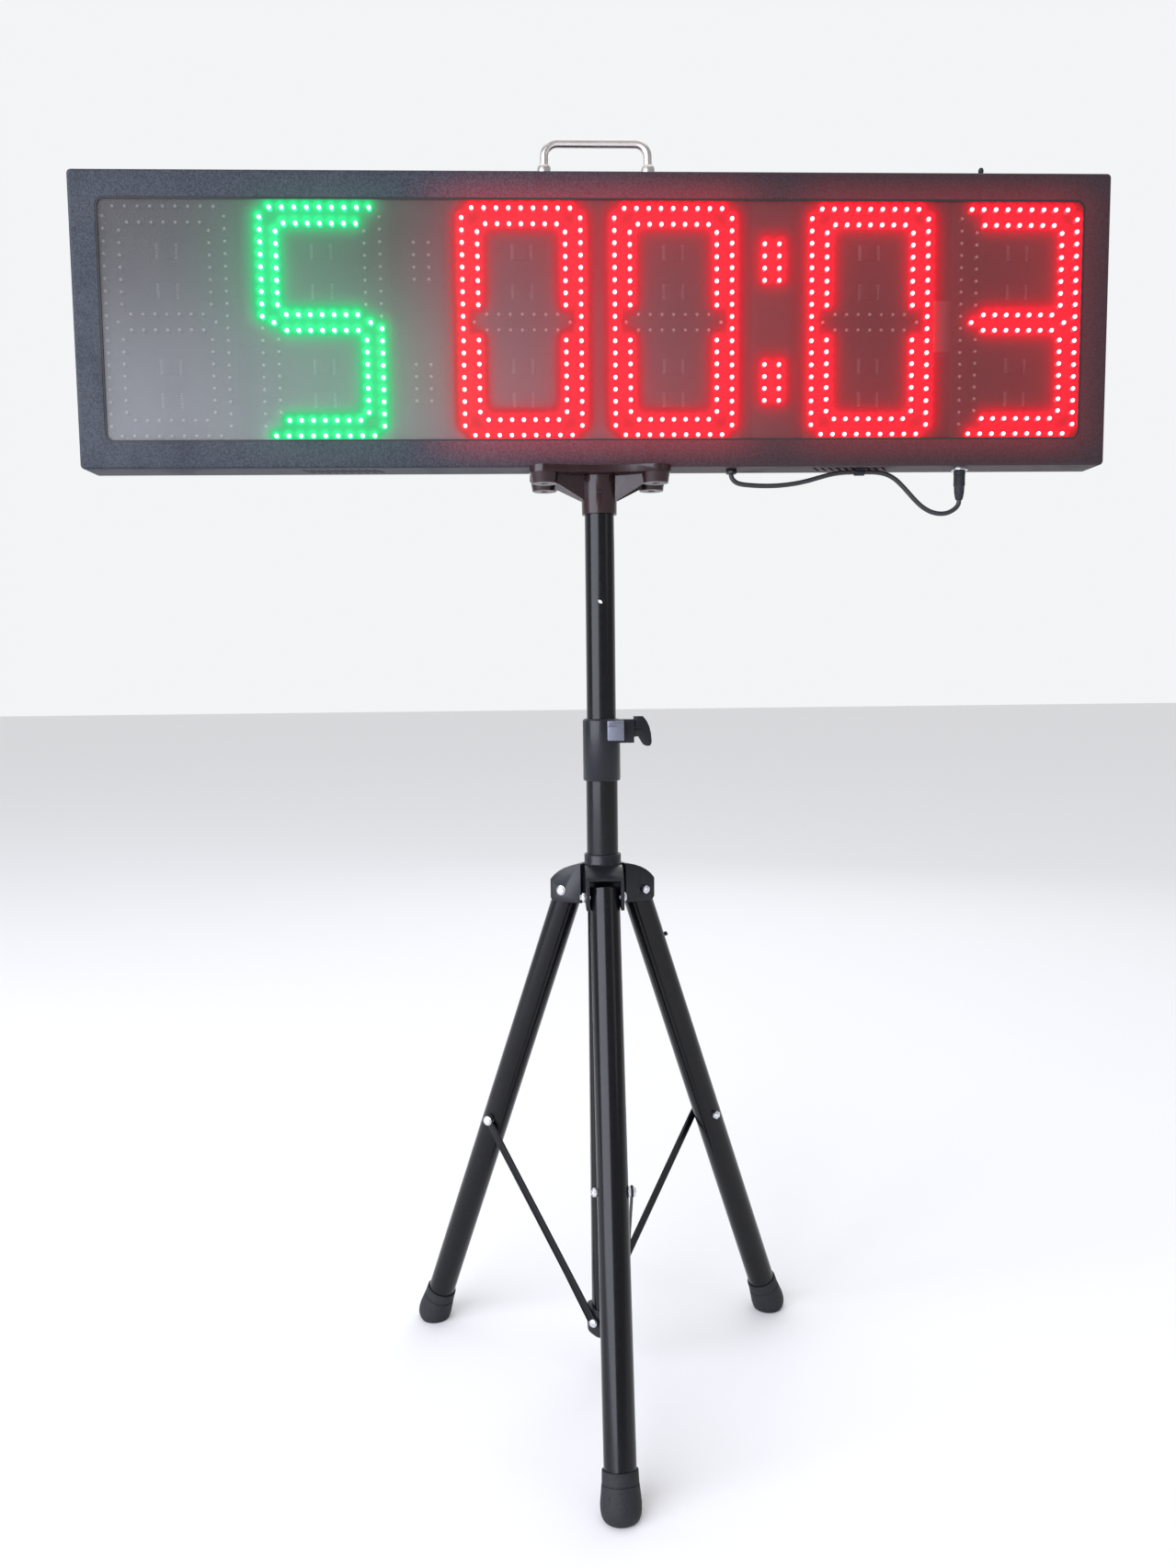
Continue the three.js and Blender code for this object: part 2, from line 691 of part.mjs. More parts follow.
function addBracket(display) {
  const plate = new THREE.ExtrudeGeometry(bracketOutline(), {
    depth: bracketThickness, curveSegments: 5, bevelEnabled: false });
  plate.translate(0, 0, -gap - bracketThickness);
  const solids = [solid(plate)];
  const holes = [];
  for (const signX of [-1, 1]) {
    for (const signY of [-1, 1]) {
      const centre = [signX * bossX, signY * bossY];
      solids.push(bar('z', bossRadius - bossDraft, -bossDrop, -2 * gap, centre, mediumSides, bossRadius));
      solids.push(gusset(signX, signY));
      holes.push(bar('z', bossHoleRadius, -bossDrop - 1, 1, centre, holeSides));
    }
  }
  const socket = poleRadius + socketWall;
  solids.push(bar(
    'z', socket - socketDraft, -socketDrop, -2 * gap, [0, 0], tubeSides, socket + socketDraft));
  const bore = bar('z', poleRadius + gap, -2 * socketDrop, gap - poleSeatDepth);
  const screwHoles = bracketScrewX.map((x) =>
    bar('z', bracketScrewDiameter / 2 + boltPlay, -2 * bracketThickness, 1, [x, 0], holeSides));
  const grubHole = bar(
    'y', bracketScrewDiameter / 2, -poleRadius - 2 * socketWall, 0, [0, -grubHeight], holeSides);
  addPiece(
    display, 'pole_bracket', cut(join(solids), [bore, grubHole, ...holes, ...screwHoles]), 'plastic');
  const shank = bracketScrewDiameter / 2;
  bracketScrewX.forEach((x, i) => {
    const head = -gap - bracketThickness - gap;
    const screw = join([
      bar('z', shank, head - gap, bracketScrewReach, [x, 0], holeSides),
      bar('z', 1.7 * shank, head - bracketScrewHead, head, [x, 0], smallSides)]);
    addPiece(display, `bracket_screw_${i + 1}`, screw, 'zinc');
  });
  const grubTip = -poleRadius - 2 * gap;
  const grub = bar('y', shank - boltPlay, grubTip - socketWall, grubTip, [0, -grubHeight], holeSides);
  addPiece(display, 'bracket_grub_screw', grub, 'zinc');
}

// ---------------------------------------------------------------- pole and mast

function addPole(pole) {
  const inner = poleRadius - poleWall;
  const pinHoles = [];
  for (let i = 0; i < pinHoleCount; i += 1) {
    const height = poleTop - pinHoleFromTop - i * pinHolePitch;
    pinHoles.push(bar('y', pinHoleRadius, -2 * poleRadius, 2 * poleRadius, [0, height], holeSides));
  }
  addPiece(pole, 'upper_pole', cut(tube(poleRadius, inner, poleBottom, poleTop), pinHoles), 'tubeGloss');
  const throat = inner - bushWall;
  const flangeBottom = poleBottom - bushFlange;
  const spigotTop = poleBottom + bushSpigot;
  const bush = turned([
    [throat, flangeBottom], [poleRadius, flangeBottom], [poleRadius, poleBottom - gap],
    [inner - gap, poleBottom - gap], [inner - gap, spigotTop], [throat, spigotTop],
    [throat, flangeBottom]]);
  addPiece(pole, 'pole_bush', bush, 'plastic');
}

/** The clamp knob's wing: an outline in X and Z about the screw's axis. */
function wingOutline(root) {
  const wing = new THREE.Shape();
  wing.moveTo(root, 17.5);
  wing.lineTo(root + 11, 17.5);
  wing.quadraticCurveTo(root + 21, 8, root + 21.5, -13);
  wing.quadraticCurveTo(root + 21.3, -18.5, root + 17, -18.5);
  wing.quadraticCurveTo(root + 12, -18.5, root + 10, -15);
  wing.lineTo(root + 5, -6.5);
  wing.lineTo(root, -6.5);
  wing.closePath();
  return wing;
}

/** A wing knob and its screw along +X, whose tip is at tip and whose head starts at root. */
function wingKnob(tip, root) {
  const wing = plateAlongY(wingOutline(root), -wingHalfThickness, wingHalfThickness, 4);
  const boss = bar(
    'x', wingBossRadius, root, root + wingBossLength, [0, 0], mediumSides, wingBossEnd);
  const screw = bar(
    'x', clampScrewRadius - boltPlay, tip, root + wingBossLength / 2, [0, 0], smallSides);
  return join([wing, boss, screw]);
}

function addMast(mast) {
  const bore = mastRadius + gap;
  const mastTube = tube(mastRadius, mastRadius - mastWall, lowerHubTop + gap, mastTop);
  addPiece(mast, 'mast_tube', mastTube, 'tubeGloss');
  const outer = bore + collarWall;
  const throat = poleRadius + gap;
  const collarBottom = mastTop - collarBelow;
  const ring = turned([
    [bore, collarBottom], [outer - 1, collarBottom], [outer, collarBottom + 1.5],
    [outer, collarTop - 2], [outer - 2, collarTop], [throat, collarTop],
    [throat, mastTop + gap], [bore, mastTop + gap], [bore, collarBottom]]);
  const clampBlock = cut(
    block(
      [0, -clampBlockWidth / 2, clampScrewHeight - clampBlockHeight / 2],
      [clampBlockReach, clampBlockWidth / 2, clampScrewHeight + clampBlockHeight / 2]),
    [bar('z', outer - 1, 0, 2 * mastTop)]);
  const screwHole = bar(
    'x', clampScrewRadius, throat - 1, clampBlockReach + 1, [0, clampScrewHeight], smallSides);
  addPiece(mast, 'clamp_collar', cut(ring.add(clampBlock), [screwHole]), 'plastic');
  const knob = wingKnob(poleRadius + gap, clampBlockReach + gap);
  addPiece(mast, 'clamp_knob', knob.translate([0, 0, clampScrewHeight]), 'plastic');
}

function addLowerHub(mast) {
  const bottom = lowerPivotHeight - lowerHubBelow;
  const face = braceOffset - gap;
  const rim = lowerHubRadius;
  const inner = mastRadius - mastWall - gap;
  const body = turned([
    [0, bottom], [rim - lowerHubEdge, bottom], [rim, bottom + lowerHubEdge], [rim, lowerHubTop],
    [inner, lowerHubTop], [inner, lowerHubTop + lowerSpigot], [0, lowerHubTop + lowerSpigot]]);
  const flats = Object.values(legAzimuths).map((azimuth) => {
    const flat = new THREE.BoxGeometry(4 * rim, 2 * rim, 200);
    flat.translate(0, face + rim, lowerPivotHeight);
    flat.rotateZ(THREE.MathUtils.degToRad(azimuth));
    return solid(flat);
  });
  addPiece(mast, 'lower_hub', cut(body, flats), 'plastic');
}

// ---------------------------------------------------------------- leg hub

/** Side view of one hub arm in (radius, height above the pivot). */
function hubArmOutline() {
  const arm = new THREE.Shape();
  arm.moveTo(mastRadius, -hubSkirt);
  arm.lineTo(hubReach - 3, -hubSkirt);
  arm.lineTo(hubReach, -hubSkirt + 4);
  arm.lineTo(hubReach, hubArmEnd);
  arm.quadraticCurveTo(hubReach - 12, hubArmRoot - 5, mastRadius + 3, hubArmRoot);
  arm.lineTo(mastRadius, hubArmRoot);
  arm.closePath();
  return arm;
}

/** Everything of the hub about a pivot plane at height zero. */
function addLegHub(hub) {
  const bore = mastRadius + gap;
  const inside = legRadius + pivotPlay;
  const outside = inside + cheekThickness;
  const sweep = Math.hypot(legRadius, legHead) + 2 * gap;
  const sleeve = bore + hubWall;
  const neck = bore + hubWall - 1.5;
  const solids = [turned([
    [bore, -hubSkirt], [sleeve, -hubSkirt], [sleeve, hubArmRoot - 2],
    [neck, hubArmRoot + 2], [neck, hubSleeveHeight - 1], [neck - 1, hubSleeveHeight],
    [bore, hubSleeveHeight], [bore, -hubSkirt]])];
  const cuts = [bar('z', bore, -2 * hubSkirt, 2 * hubSleeveHeight)];
  for (const azimuth of Object.values(legAzimuths)) {
    const turn = [0, 0, azimuth];
    solids.push(plateAlongY(hubArmOutline(), -outside, outside, 5).rotate(turn));
    const slotInner = hubPivotRadius - sweep;
    const room = block([slotInner, -inside, -2 * hubSkirt], [2 * hubReach, inside, legHead]);
    const crown = bar('y', sweep, -inside, inside, [hubPivotRadius, 0]);
    const mouth = block([hubPivotRadius, -inside, 0], [2 * hubReach, inside, sweep]);
    const boltHole = bar(
      'y', pivotBoltRadius + boltPlay, -2 * outside, 2 * outside, [hubPivotRadius, 0], holeSides);
    cuts.push(...[room, crown, mouth, boltHole].map((tool) => tool.rotate(turn)));
  }
  // lock screw boss between the two rear arms, over the middle of the sleeve
  const centre = [0, lockBossHeight];
  solids.push(bar('y', lockBossRadius, bore + 1, lockBossReach, centre, mediumSides));
  cuts.push(bar('y', clampScrewRadius, bore - 1, lockBossReach + 1, centre, smallSides));
  addPiece(hub, 'leg_hub', cut(join(solids), cuts), 'plastic');
  const knob = wingKnob(mastRadius + gap, lockBossReach + gap).rotate([0, 0, 90]);
  addPiece(hub, 'hub_lock_knob', knob.translate([0, 0, lockBossHeight]), 'plastic');
}

/** A bolt along the leg's cross axis with a domed head and a nut. */
function crossBolt(headFrom, nutFrom, spacer) {
  const pieces = [
    bar('y', pivotBoltRadius, -nutFrom - boltEnd, headFrom + 1, [0, 0], holeSides),
    bar('y', boltHeadRadius, headFrom, headFrom + boltHeadHeight, [0, 0], smallSides, boltCrownRadius),
    bar('y', nutRadius, -nutFrom - nutThickness, -nutFrom, [0, 0], hexSides)];
  if (spacer) pieces.push(bar('y', boltHeadRadius, ...spacer, [0, 0], smallSides));
  return join(pieces);
}

// ---------------------------------------------------------------- legs and braces

/** One leg about its pivot, hanging along -Z before the group is turned outward. */
function addLeg(leg, side) {
  const end = -(legLength - footCentreHeight + footOverTube);
  const crossHole = (height) =>
    bar('y', pivotBoltRadius + boltPlay, -legDiameter, legDiameter, [0, height], holeSides);
  const legTube = tube(legRadius, legRadius - legWall, end, legHead);
  addPiece(leg, `leg_${side}`, cut(legTube, [crossHole(0), crossHole(-braceBoltAlong)]), 'tubeGloss');
  addPiece(leg, `foot_${side}`, legFoot(end), 'rubber');
  const skin = legRadius + gap;
  const bolt = crossBolt(braceOffset + braceThickness + gap, skin, [skin, braceOffset - gap]);
  addPiece(leg, `brace_bolt_${side}`, bolt.translate([0, 0, -braceBoltAlong]), 'zinc');
  if (side === 'right') {
    const tip = skin + studLength;
    const stud = join([
      bar('x', studRadius - studNeck, skin, tip, [0, -studAlong], holeSides),
      bar('x', studRadius, tip - studHead, tip, [0, -studAlong], holeSides)]);
    addPiece(leg, 'strap_stud', stud, 'plastic');
  }
}

/** A domed rubber foot over the tube's end, cut flat where it meets the floor. */
function legFoot(tubeEnd) {
  const centre = -(legLength - footCentreHeight);
  const top = centre - footCentreHeight + footLength;
  const bore = legRadius + gap;
  const profile = [
    [bore, tubeEnd - gap], [bore, top], [footTopRadius - 1, top], [footTopRadius, top - 2],
    [footTopRadius, centre + footCentreHeight]];
  for (let i = 0; i <= footRings; i += 1) {
    const dip = (i / footRings) * (Math.PI / 2);
    profile.push([footRadius * Math.cos(dip), centre - footRadius * Math.sin(dip)]);
  }
  profile.push([0, tubeEnd - gap]);
  profile.push([bore, tubeEnd - gap]);
  const floor = new THREE.BoxGeometry(4 * footRadius, 4 * footRadius, 2 * footRadius);
  floor.translate(0, 0, -footRadius);
  floor.rotateY(legAngle);
  floor.translate(0, 0, -legLength);
  return cut(turned(profile), [solid(floor)]);
}

/** A flat bar with round eyes about its upper eye, hanging along -Z. */
function addBrace(brace, side) {
  const [inner, outer] = [braceOffset, braceOffset + braceThickness];
  const half = braceWidth / 2;
  const strip = join([
    block([-half, inner, -braceLength], [half, outer, 0]),
    bar('y', braceEyeRadius, inner, outer, [0, 0], mediumSides),
    bar('y', braceEyeRadius, inner, outer, [0, -braceLength], mediumSides)]);
  const eyes = [0, -braceLength].map((height) =>
    bar('y', pivotBoltRadius + boltPlay, inner - 1, outer + 1, [0, height], holeSides));
  addPiece(brace, `brace_${side}`, cut(strip, eyes), 'tubeGloss');
  const head = outer + gap;
  const eye = [0, -braceLength];
  const rivet = join([
    bar('y', pivotBoltRadius, inner, head + gap, eye, holeSides),
    bar('y', rivetRadius, head, head + rivetHead, eye, smallSides, rivetCrown)]);
  addPiece(brace, `brace_rivet_${side}`, rivet, 'zinc');
}

// ---------------------------------------------------------------- assembly

const timer = new THREE.Group();
const stand = new THREE.Group();
stand.position.y = mastSetback;
timer.add(stand);

const display = new THREE.Group();
display.position.z = caseBottom;
stand.add(display);
addPiece(display, 'front_bezel', frontBezel(), 'caseCoat');
addPiece(display, 'rear_cover', rearCover(), 'caseCoat');
addPiece(display, 'window_filter', casePlate(
  roundedOutline(
    caseWidth - 2 * windowMargin + 2 * filterOverlap,
    caseHeight - 2 * windowMargin + 2 * filterOverlap, 2),
  filterFront, filterFront + filterThickness), 'filter');
addElectronics(display);
addSwitch(display);
addHandle(display);
addAntenna(display);
addLead(display);
addBracket(display);

addPole(stand);
addMast(stand);
addLowerHub(stand);

const hub = new THREE.Group();
hub.position.z = pivotHeight;
stand.add(hub);
addLegHub(hub);

for (const [side, azimuth] of Object.entries(legAzimuths)) {
  const arm = new THREE.Group();
  arm.rotation.z = THREE.MathUtils.degToRad(azimuth);
  stand.add(arm);

  const pivot = new THREE.Group();
  pivot.position.set(hubPivotRadius, 0, pivotHeight);
  arm.add(pivot);
  const cheekFace = legRadius + pivotPlay + cheekThickness + gap;
  addPiece(pivot, `leg_bolt_${side}`, crossBolt(cheekFace, cheekFace), 'zinc');

  const leg = new THREE.Group();
  leg.rotation.y = -legAngle;
  pivot.add(leg);
  addLeg(leg, side);

  const brace = new THREE.Group();
  brace.position.set(braceBoltRadial, 0, braceBoltHeight);
  brace.rotation.y = braceAngle;
  arm.add(brace);
  addBrace(brace, side);
}

export default timer;
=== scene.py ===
"""Looks of a six-digit LED round timer on a folding tripod stand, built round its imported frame."""
import logging
import math
from dataclasses import dataclass, field
from enum import Enum
from typing import Callable, Dict, List, Optional, Sequence, Tuple

import bmesh
import bpy
import numpy as np
from mathutils import Matrix, Vector


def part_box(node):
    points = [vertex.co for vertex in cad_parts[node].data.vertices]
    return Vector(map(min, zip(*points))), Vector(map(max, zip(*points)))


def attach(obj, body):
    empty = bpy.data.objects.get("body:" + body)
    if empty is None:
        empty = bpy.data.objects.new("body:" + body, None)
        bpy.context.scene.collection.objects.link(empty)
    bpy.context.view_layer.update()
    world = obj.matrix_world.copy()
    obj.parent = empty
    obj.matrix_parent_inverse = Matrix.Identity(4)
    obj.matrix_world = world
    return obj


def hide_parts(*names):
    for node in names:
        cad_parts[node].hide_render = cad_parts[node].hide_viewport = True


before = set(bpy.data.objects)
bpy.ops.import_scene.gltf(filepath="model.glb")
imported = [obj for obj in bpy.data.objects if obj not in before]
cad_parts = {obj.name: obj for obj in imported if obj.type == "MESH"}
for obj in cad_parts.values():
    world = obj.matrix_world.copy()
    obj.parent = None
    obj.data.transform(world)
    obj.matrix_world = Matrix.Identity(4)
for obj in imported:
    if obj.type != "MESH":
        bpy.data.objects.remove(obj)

LOG = logging.getLogger("round_timer")
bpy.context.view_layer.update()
MM = 0.001
MERGE = 1e-6
SQUARE = 0.9  # a direction counts as square on past this cosine
FULL_TURN = 2 * math.pi
UP = Vector((0, 0, 1))

Colour = Tuple[float, float, float]
Profile = Sequence[Tuple[float, float]]


def colour4(colour: Colour) -> Tuple[float, float, float, float]:
    """Returns a colour with full alpha."""
    return (*colour, 1.0)


def along(origin: Sequence[float], direction: Sequence[float]) -> Matrix:
    """A place whose local Z runs along a direction.

    Args:
        origin: the local origin, in metres.
        direction: the way local Z points.

    Returns:
        The 4x4 placing matrix.
    """
    turn = Vector(direction).to_track_quat("Z", "Y").to_matrix().to_4x4()
    return Matrix.Translation(Vector(origin)) @ turn


# ---------------------------------------------------------------------------- modelling bench


class Bench:
    """Primitives, edits and finishing steps on Blender's own operators."""

    @staticmethod
    def clear() -> None:
        """Leaves edit mode and deselects everything."""
        if bpy.context.mode != "OBJECT":
            bpy.ops.object.mode_set(mode="OBJECT")
        bpy.ops.object.select_all(action="DESELECT")

    @staticmethod
    def hold(obj: bpy.types.Object) -> bpy.types.Object:
        """Makes one object the only selected and the active one."""
        Bench.clear()
        obj.select_set(True)
        bpy.context.view_layer.objects.active = obj
        return obj

    @staticmethod
    def title(name: str) -> bpy.types.Object:
        """Names the object that was just added."""
        obj = bpy.context.object
        obj.name = name
        obj.data.name = name
        return obj

    @staticmethod
    def settle(obj: bpy.types.Object) -> bpy.types.Object:
        """Moves an object's place into its mesh."""
        Bench.hold(obj)
        bpy.ops.object.transform_apply(location=True, rotation=True, scale=True)
        return obj

    @staticmethod
    def edit(obj: bpy.types.Object) -> None:
        """Opens an object in edit mode with everything selected."""
        Bench.hold(obj)
        bpy.ops.object.mode_set(mode="EDIT")
        bpy.ops.mesh.select_all(action="SELECT")

    @staticmethod
    def close() -> None:
        """Merges doubles, turns faces outward and leaves edit mode."""
        bpy.ops.mesh.select_all(action="SELECT")
        bpy.ops.mesh.remove_doubles(threshold=MERGE)
        bpy.ops.mesh.normals_make_consistent(inside=False)
        bpy.ops.object.mode_set(mode="OBJECT")

    @staticmethod
    def choose_faces(obj: bpy.types.Object, test: Callable[[Vector], bool]) -> None:
        """In edit mode, selects the faces whose normal passes a test."""
        bpy.ops.mesh.select_mode(type="FACE")
        bpy.ops.mesh.select_all(action="DESELECT")
        shape = bmesh.from_edit_mesh(obj.data)
        for face in shape.faces:
            face.select_set(test(face.normal))
        bmesh.update_edit_mesh(obj.data)

    @staticmethod
    def choose_edges(obj: bpy.types.Object, test: Callable[[Vector], bool]) -> None:
        """In edit mode, selects the edges whose direction passes a test."""
        bpy.ops.mesh.select_mode(type="EDGE")
        bpy.ops.mesh.select_all(action="DESELECT")
        shape = bmesh.from_edit_mesh(obj.data)
        for edge in shape.edges:
            edge.select_set(test((edge.verts[1].co - edge.verts[0].co).normalized()))
        bmesh.update_edit_mesh(obj.data)

    @staticmethod
    def box(name: str, low: Sequence[float], high: Sequence[float]) -> bpy.types.Object:
        """Adds a box from its lowest corner to its highest corner."""
        Bench.clear()
        low, high = Vector(low), Vector(high)
        bpy.ops.mesh.primitive_cube_add(size=1, location=(low + high) / 2, scale=high - low)
        return Bench.settle(Bench.title(name))

    @staticmethod
    def rod(name: str, start: Sequence[float], end: Sequence[float], radius: float,
            sides: int = 48) -> bpy.types.Object:
        """Adds a round bar.

        Args:
            name: the new object's name.
            start: centre of the first end.
            end: centre of the second end.
            radius: its radius.
            sides: facets round it.

        Returns:
            The new object.
        """
        Bench.clear()
        start, end = Vector(start), Vector(end)
        bpy.ops.mesh.primitive_cone_add(
            vertices=sides, radius1=radius, radius2=radius,
            depth=(end - start).length, location=(start + end) / 2,
            rotation=(end - start).to_track_quat("Z", "Y").to_euler())
        return Bench.settle(Bench.title(name))

    @staticmethod
    def raw(name: str, points: Sequence[Sequence[float]], edges: Sequence[Tuple[int, int]],
            faces: Sequence[Sequence[int]]) -> bpy.types.Object:
        """Adds an object from plain points, edges and faces."""
        mesh = bpy.data.meshes.new(name)
        mesh.from_pydata([tuple(p) for p in points], edges, faces)
        return Bench.hold(Bench.link(name, mesh))

    @staticmethod
    def lathe(name: str, profile: Profile, place: Matrix = Matrix.Identity(4),
              steps: int = 48) -> bpy.types.Object:
        """Spins a profile of (radius, height) points about local Z.

        Args:
            name: the new object's name.
            profile: points in metres, closed on the axis or on itself.
            place: where local space goes.
            steps: facets round it.

        Returns:
            The new object.
        """
        links = [(i, i + 1) for i in range(len(profile) - 1)]
        obj = Bench.raw(name, [(r, 0, h) for r, h in profile], links, [])
        Bench.edit(obj)
        bpy.ops.mesh.spin(steps=steps, angle=FULL_TURN, center=(0, 0, 0), axis=(0, 0, 1))
        bpy.ops.mesh.select_all(action="SELECT")
        bpy.ops.mesh.remove_doubles(threshold=MERGE)
        bpy.ops.mesh.dissolve_degenerate(threshold=MERGE / 10)
        Bench.close()
        obj.matrix_world = place
        return Bench.settle(obj)

    @staticmethod
    def link(name: str, data: bpy.types.ID) -> bpy.types.Object:
        """Adds an object for its data."""
        obj = bpy.data.objects.new(name, data)
        bpy.context.scene.collection.objects.link(obj)
        return obj

    @staticmethod
    def line(name: str, points: Sequence[Vector], radius: float, rounds: int) -> bpy.types.Object:
        """Adds a curve of one open spline with a round section.

        Args:
            name: the new object's name.
            points: the spline's points.
            radius: radius of the section.
            rounds: steps in a quarter of the section.

        Returns:
            The new curve object.
        """
        data = bpy.data.curves.new(name, "CURVE")
        data.dimensions = "3D"
        spline = data.splines.new("POLY")
        spline.points.add(len(points) - 1)
        for point, spot in zip(spline.points, points):
            point.co = (*spot, 1.0)
        data.bevel_depth, data.bevel_resolution, data.use_fill_caps = radius, rounds, True
        return Bench.link(name, data)

    @staticmethod
    def sweep(name: str, line: Sequence[Vector], radius: float, rounds: int) -> bpy.types.Object:
        """Runs a round section along a line and makes it a closed mesh."""
        Bench.hold(Bench.line(name, line, radius, rounds))
        bpy.ops.object.convert(target="MESH")
        obj = Bench.title(name)
        Bench.edit(obj)
        Bench.close()
        return obj

    @staticmethod
    def slab(name: str, outline: Sequence[Tuple[float, float]], thickness: float,
             place: Matrix = Matrix.Identity(4)) -> bpy.types.Object:
        """Extrudes a flat outline along local Z from zero to its thickness."""
        obj = Bench.raw(name, [(x, y, 0) for x, y in outline], [], [range(len(outline))])
        Bench.edit(obj)
        bpy.ops.mesh.extrude_region_move(TRANSFORM_OT_translate={"value": (0, 0, thickness)})
        Bench.close()
        obj.matrix_world = place
        return Bench.settle(obj)

    @staticmethod
    def from_frame(name: str, node: str) -> bpy.types.Object:
        """Copies a frame node, merged and with its flat faces made whole, to be finished."""
        obj = Bench.link(name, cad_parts[node].data.copy())
        obj.data.name = name
        obj.data.materials.clear()
        Bench.edit(obj)
        bpy.ops.mesh.remove_doubles(threshold=10 * MERGE)
        bpy.ops.mesh.customdata_custom_splitnormals_clear()
        bpy.ops.mesh.dissolve_limited(angle_limit=math.radians(1.5))
        Bench.close()
        return obj

    @staticmethod
    def apply(obj: bpy.types.Object, kind: str, **settings: object) -> bpy.types.Object:
        """Adds a modifier with its settings and applies it."""
        Bench.hold(obj)
        modifier = obj.modifiers.new(kind.title(), kind)
        for key, value in settings.items():
            setattr(modifier, key, value)
        bpy.ops.object.modifier_apply(modifier=modifier.name)
        return obj

    @staticmethod
    def soften(obj: bpy.types.Object, width: float, segments: int = 2,
               angle: float = 35.0) -> bpy.types.Object:
        """Rounds every edge sharper than an angle."""
        return Bench.apply(obj, "BEVEL", width=width, segments=segments, limit_method="ANGLE",
                           angle_limit=math.radians(angle), use_clamp_overlap=True)

    @staticmethod
    def cut(obj: bpy.types.Object, *tools: bpy.types.Object) -> bpy.types.Object:
        """Takes tools out of an object and removes them."""
        for tool in tools:
            Bench.apply(obj, "BOOLEAN", operation="DIFFERENCE", solver="EXACT", object=tool)
            bpy.data.objects.remove(tool)
        return obj

    @staticmethod
    def join(name: str, parts: Sequence[bpy.types.Object]) -> bpy.types.Object:
        """Joins objects into one."""
        Bench.hold(parts[0])
        for part in parts[1:]:
            part.select_set(True)
        if len(parts) > 1:
            bpy.ops.object.join()
        return Bench.title(name)

    @staticmethod
    def repeat(name: str, master: bpy.types.Object,
               places: Sequence[Sequence[float]]) -> bpy.types.Object:
        """Copies a small master to many places as one mesh, and removes the master.

        Args:
            name: the new object's name.
            master: a finished small piece at the origin.
            places: where each copy's origin goes.

        Returns:
            The new object.
        """
        corners = np.array([v.co for v in master.data.vertices])
        faces = [tuple(p.vertices) for p in master.data.polygons]
        points = np.concatenate([corners + np.array(place) for place in places])
        step = len(corners)
        every = [tuple(v + i * step for v in f) for i in range(len(places)) for f in faces]
        bpy.data.objects.remove(master)
        return Bench.raw(name, points.tolist(), [], every)

    @staticmethod
    def smooth(obj: bpy.types.Object, degrees: float = 32.0) -> bpy.types.Object:
        """Shades smooth, with edges sharper than an angle kept."""
        Bench.hold(obj)
        bpy.ops.object.shade_smooth_by_angle(angle=math.radians(degrees))
        return obj


# ---------------------------------------------------------------------------- finishes


class Wiring:
    """Adds nodes to a tree and joins them."""

    def __init__(self, tree: bpy.types.NodeTree) -> None:
        """Keeps the tree that the nodes go to."""
        self.tree = tree

    def node(self, kind: str, inputs: Optional[Dict[object, object]] = None,
             **settings: object) -> bpy.types.Node:
        """Adds a node.

        Args:
            kind: the node type without its ShaderNode prefix.
            inputs: socket name or number to a plain value or an output socket.
            settings: the node's own settings.

        Returns:
            The new node.
        """
        made = self.tree.nodes.new("ShaderNode" + kind)
        for key, value in settings.items():
            setattr(made, key, value)
        for key, value in (inputs or {}).items():
            if isinstance(value, bpy.types.NodeSocket):
                self.tree.links.new(value, made.inputs[key])
            else:
                made.inputs[key].default_value = value
        return made

    def math(self, operation: str, *values: object) -> bpy.types.NodeSocket:
        """Adds a math node and returns its value."""
        return self.node("Math", dict(enumerate(values)), operation=operation).outputs[0]

    def blend(self, share: object, low: object, high: object) -> bpy.types.NodeSocket:
        """Mixes two colours and returns the result."""
        mix = self.node("Mix", data_type="RGBA")
        for index, value in ((0, share), (6, low), (7, high)):
            if isinstance(value, bpy.types.NodeSocket):
                self.tree.links.new(value, mix.inputs[index])
            else:
                mix.inputs[index].default_value = value
        return mix.outputs[2]

    def span(self, value: object, low: float, high: float, to_low: float,
             to_high: float) -> bpy.types.NodeSocket:
        """Maps a range of a value to another, smoothly and clamped."""
        made = self.node("MapRange", {0: value, 1: low, 2: high, 3: to_low, 4: to_high},
                         interpolation_type="SMOOTHSTEP")
        return made.outputs[0]


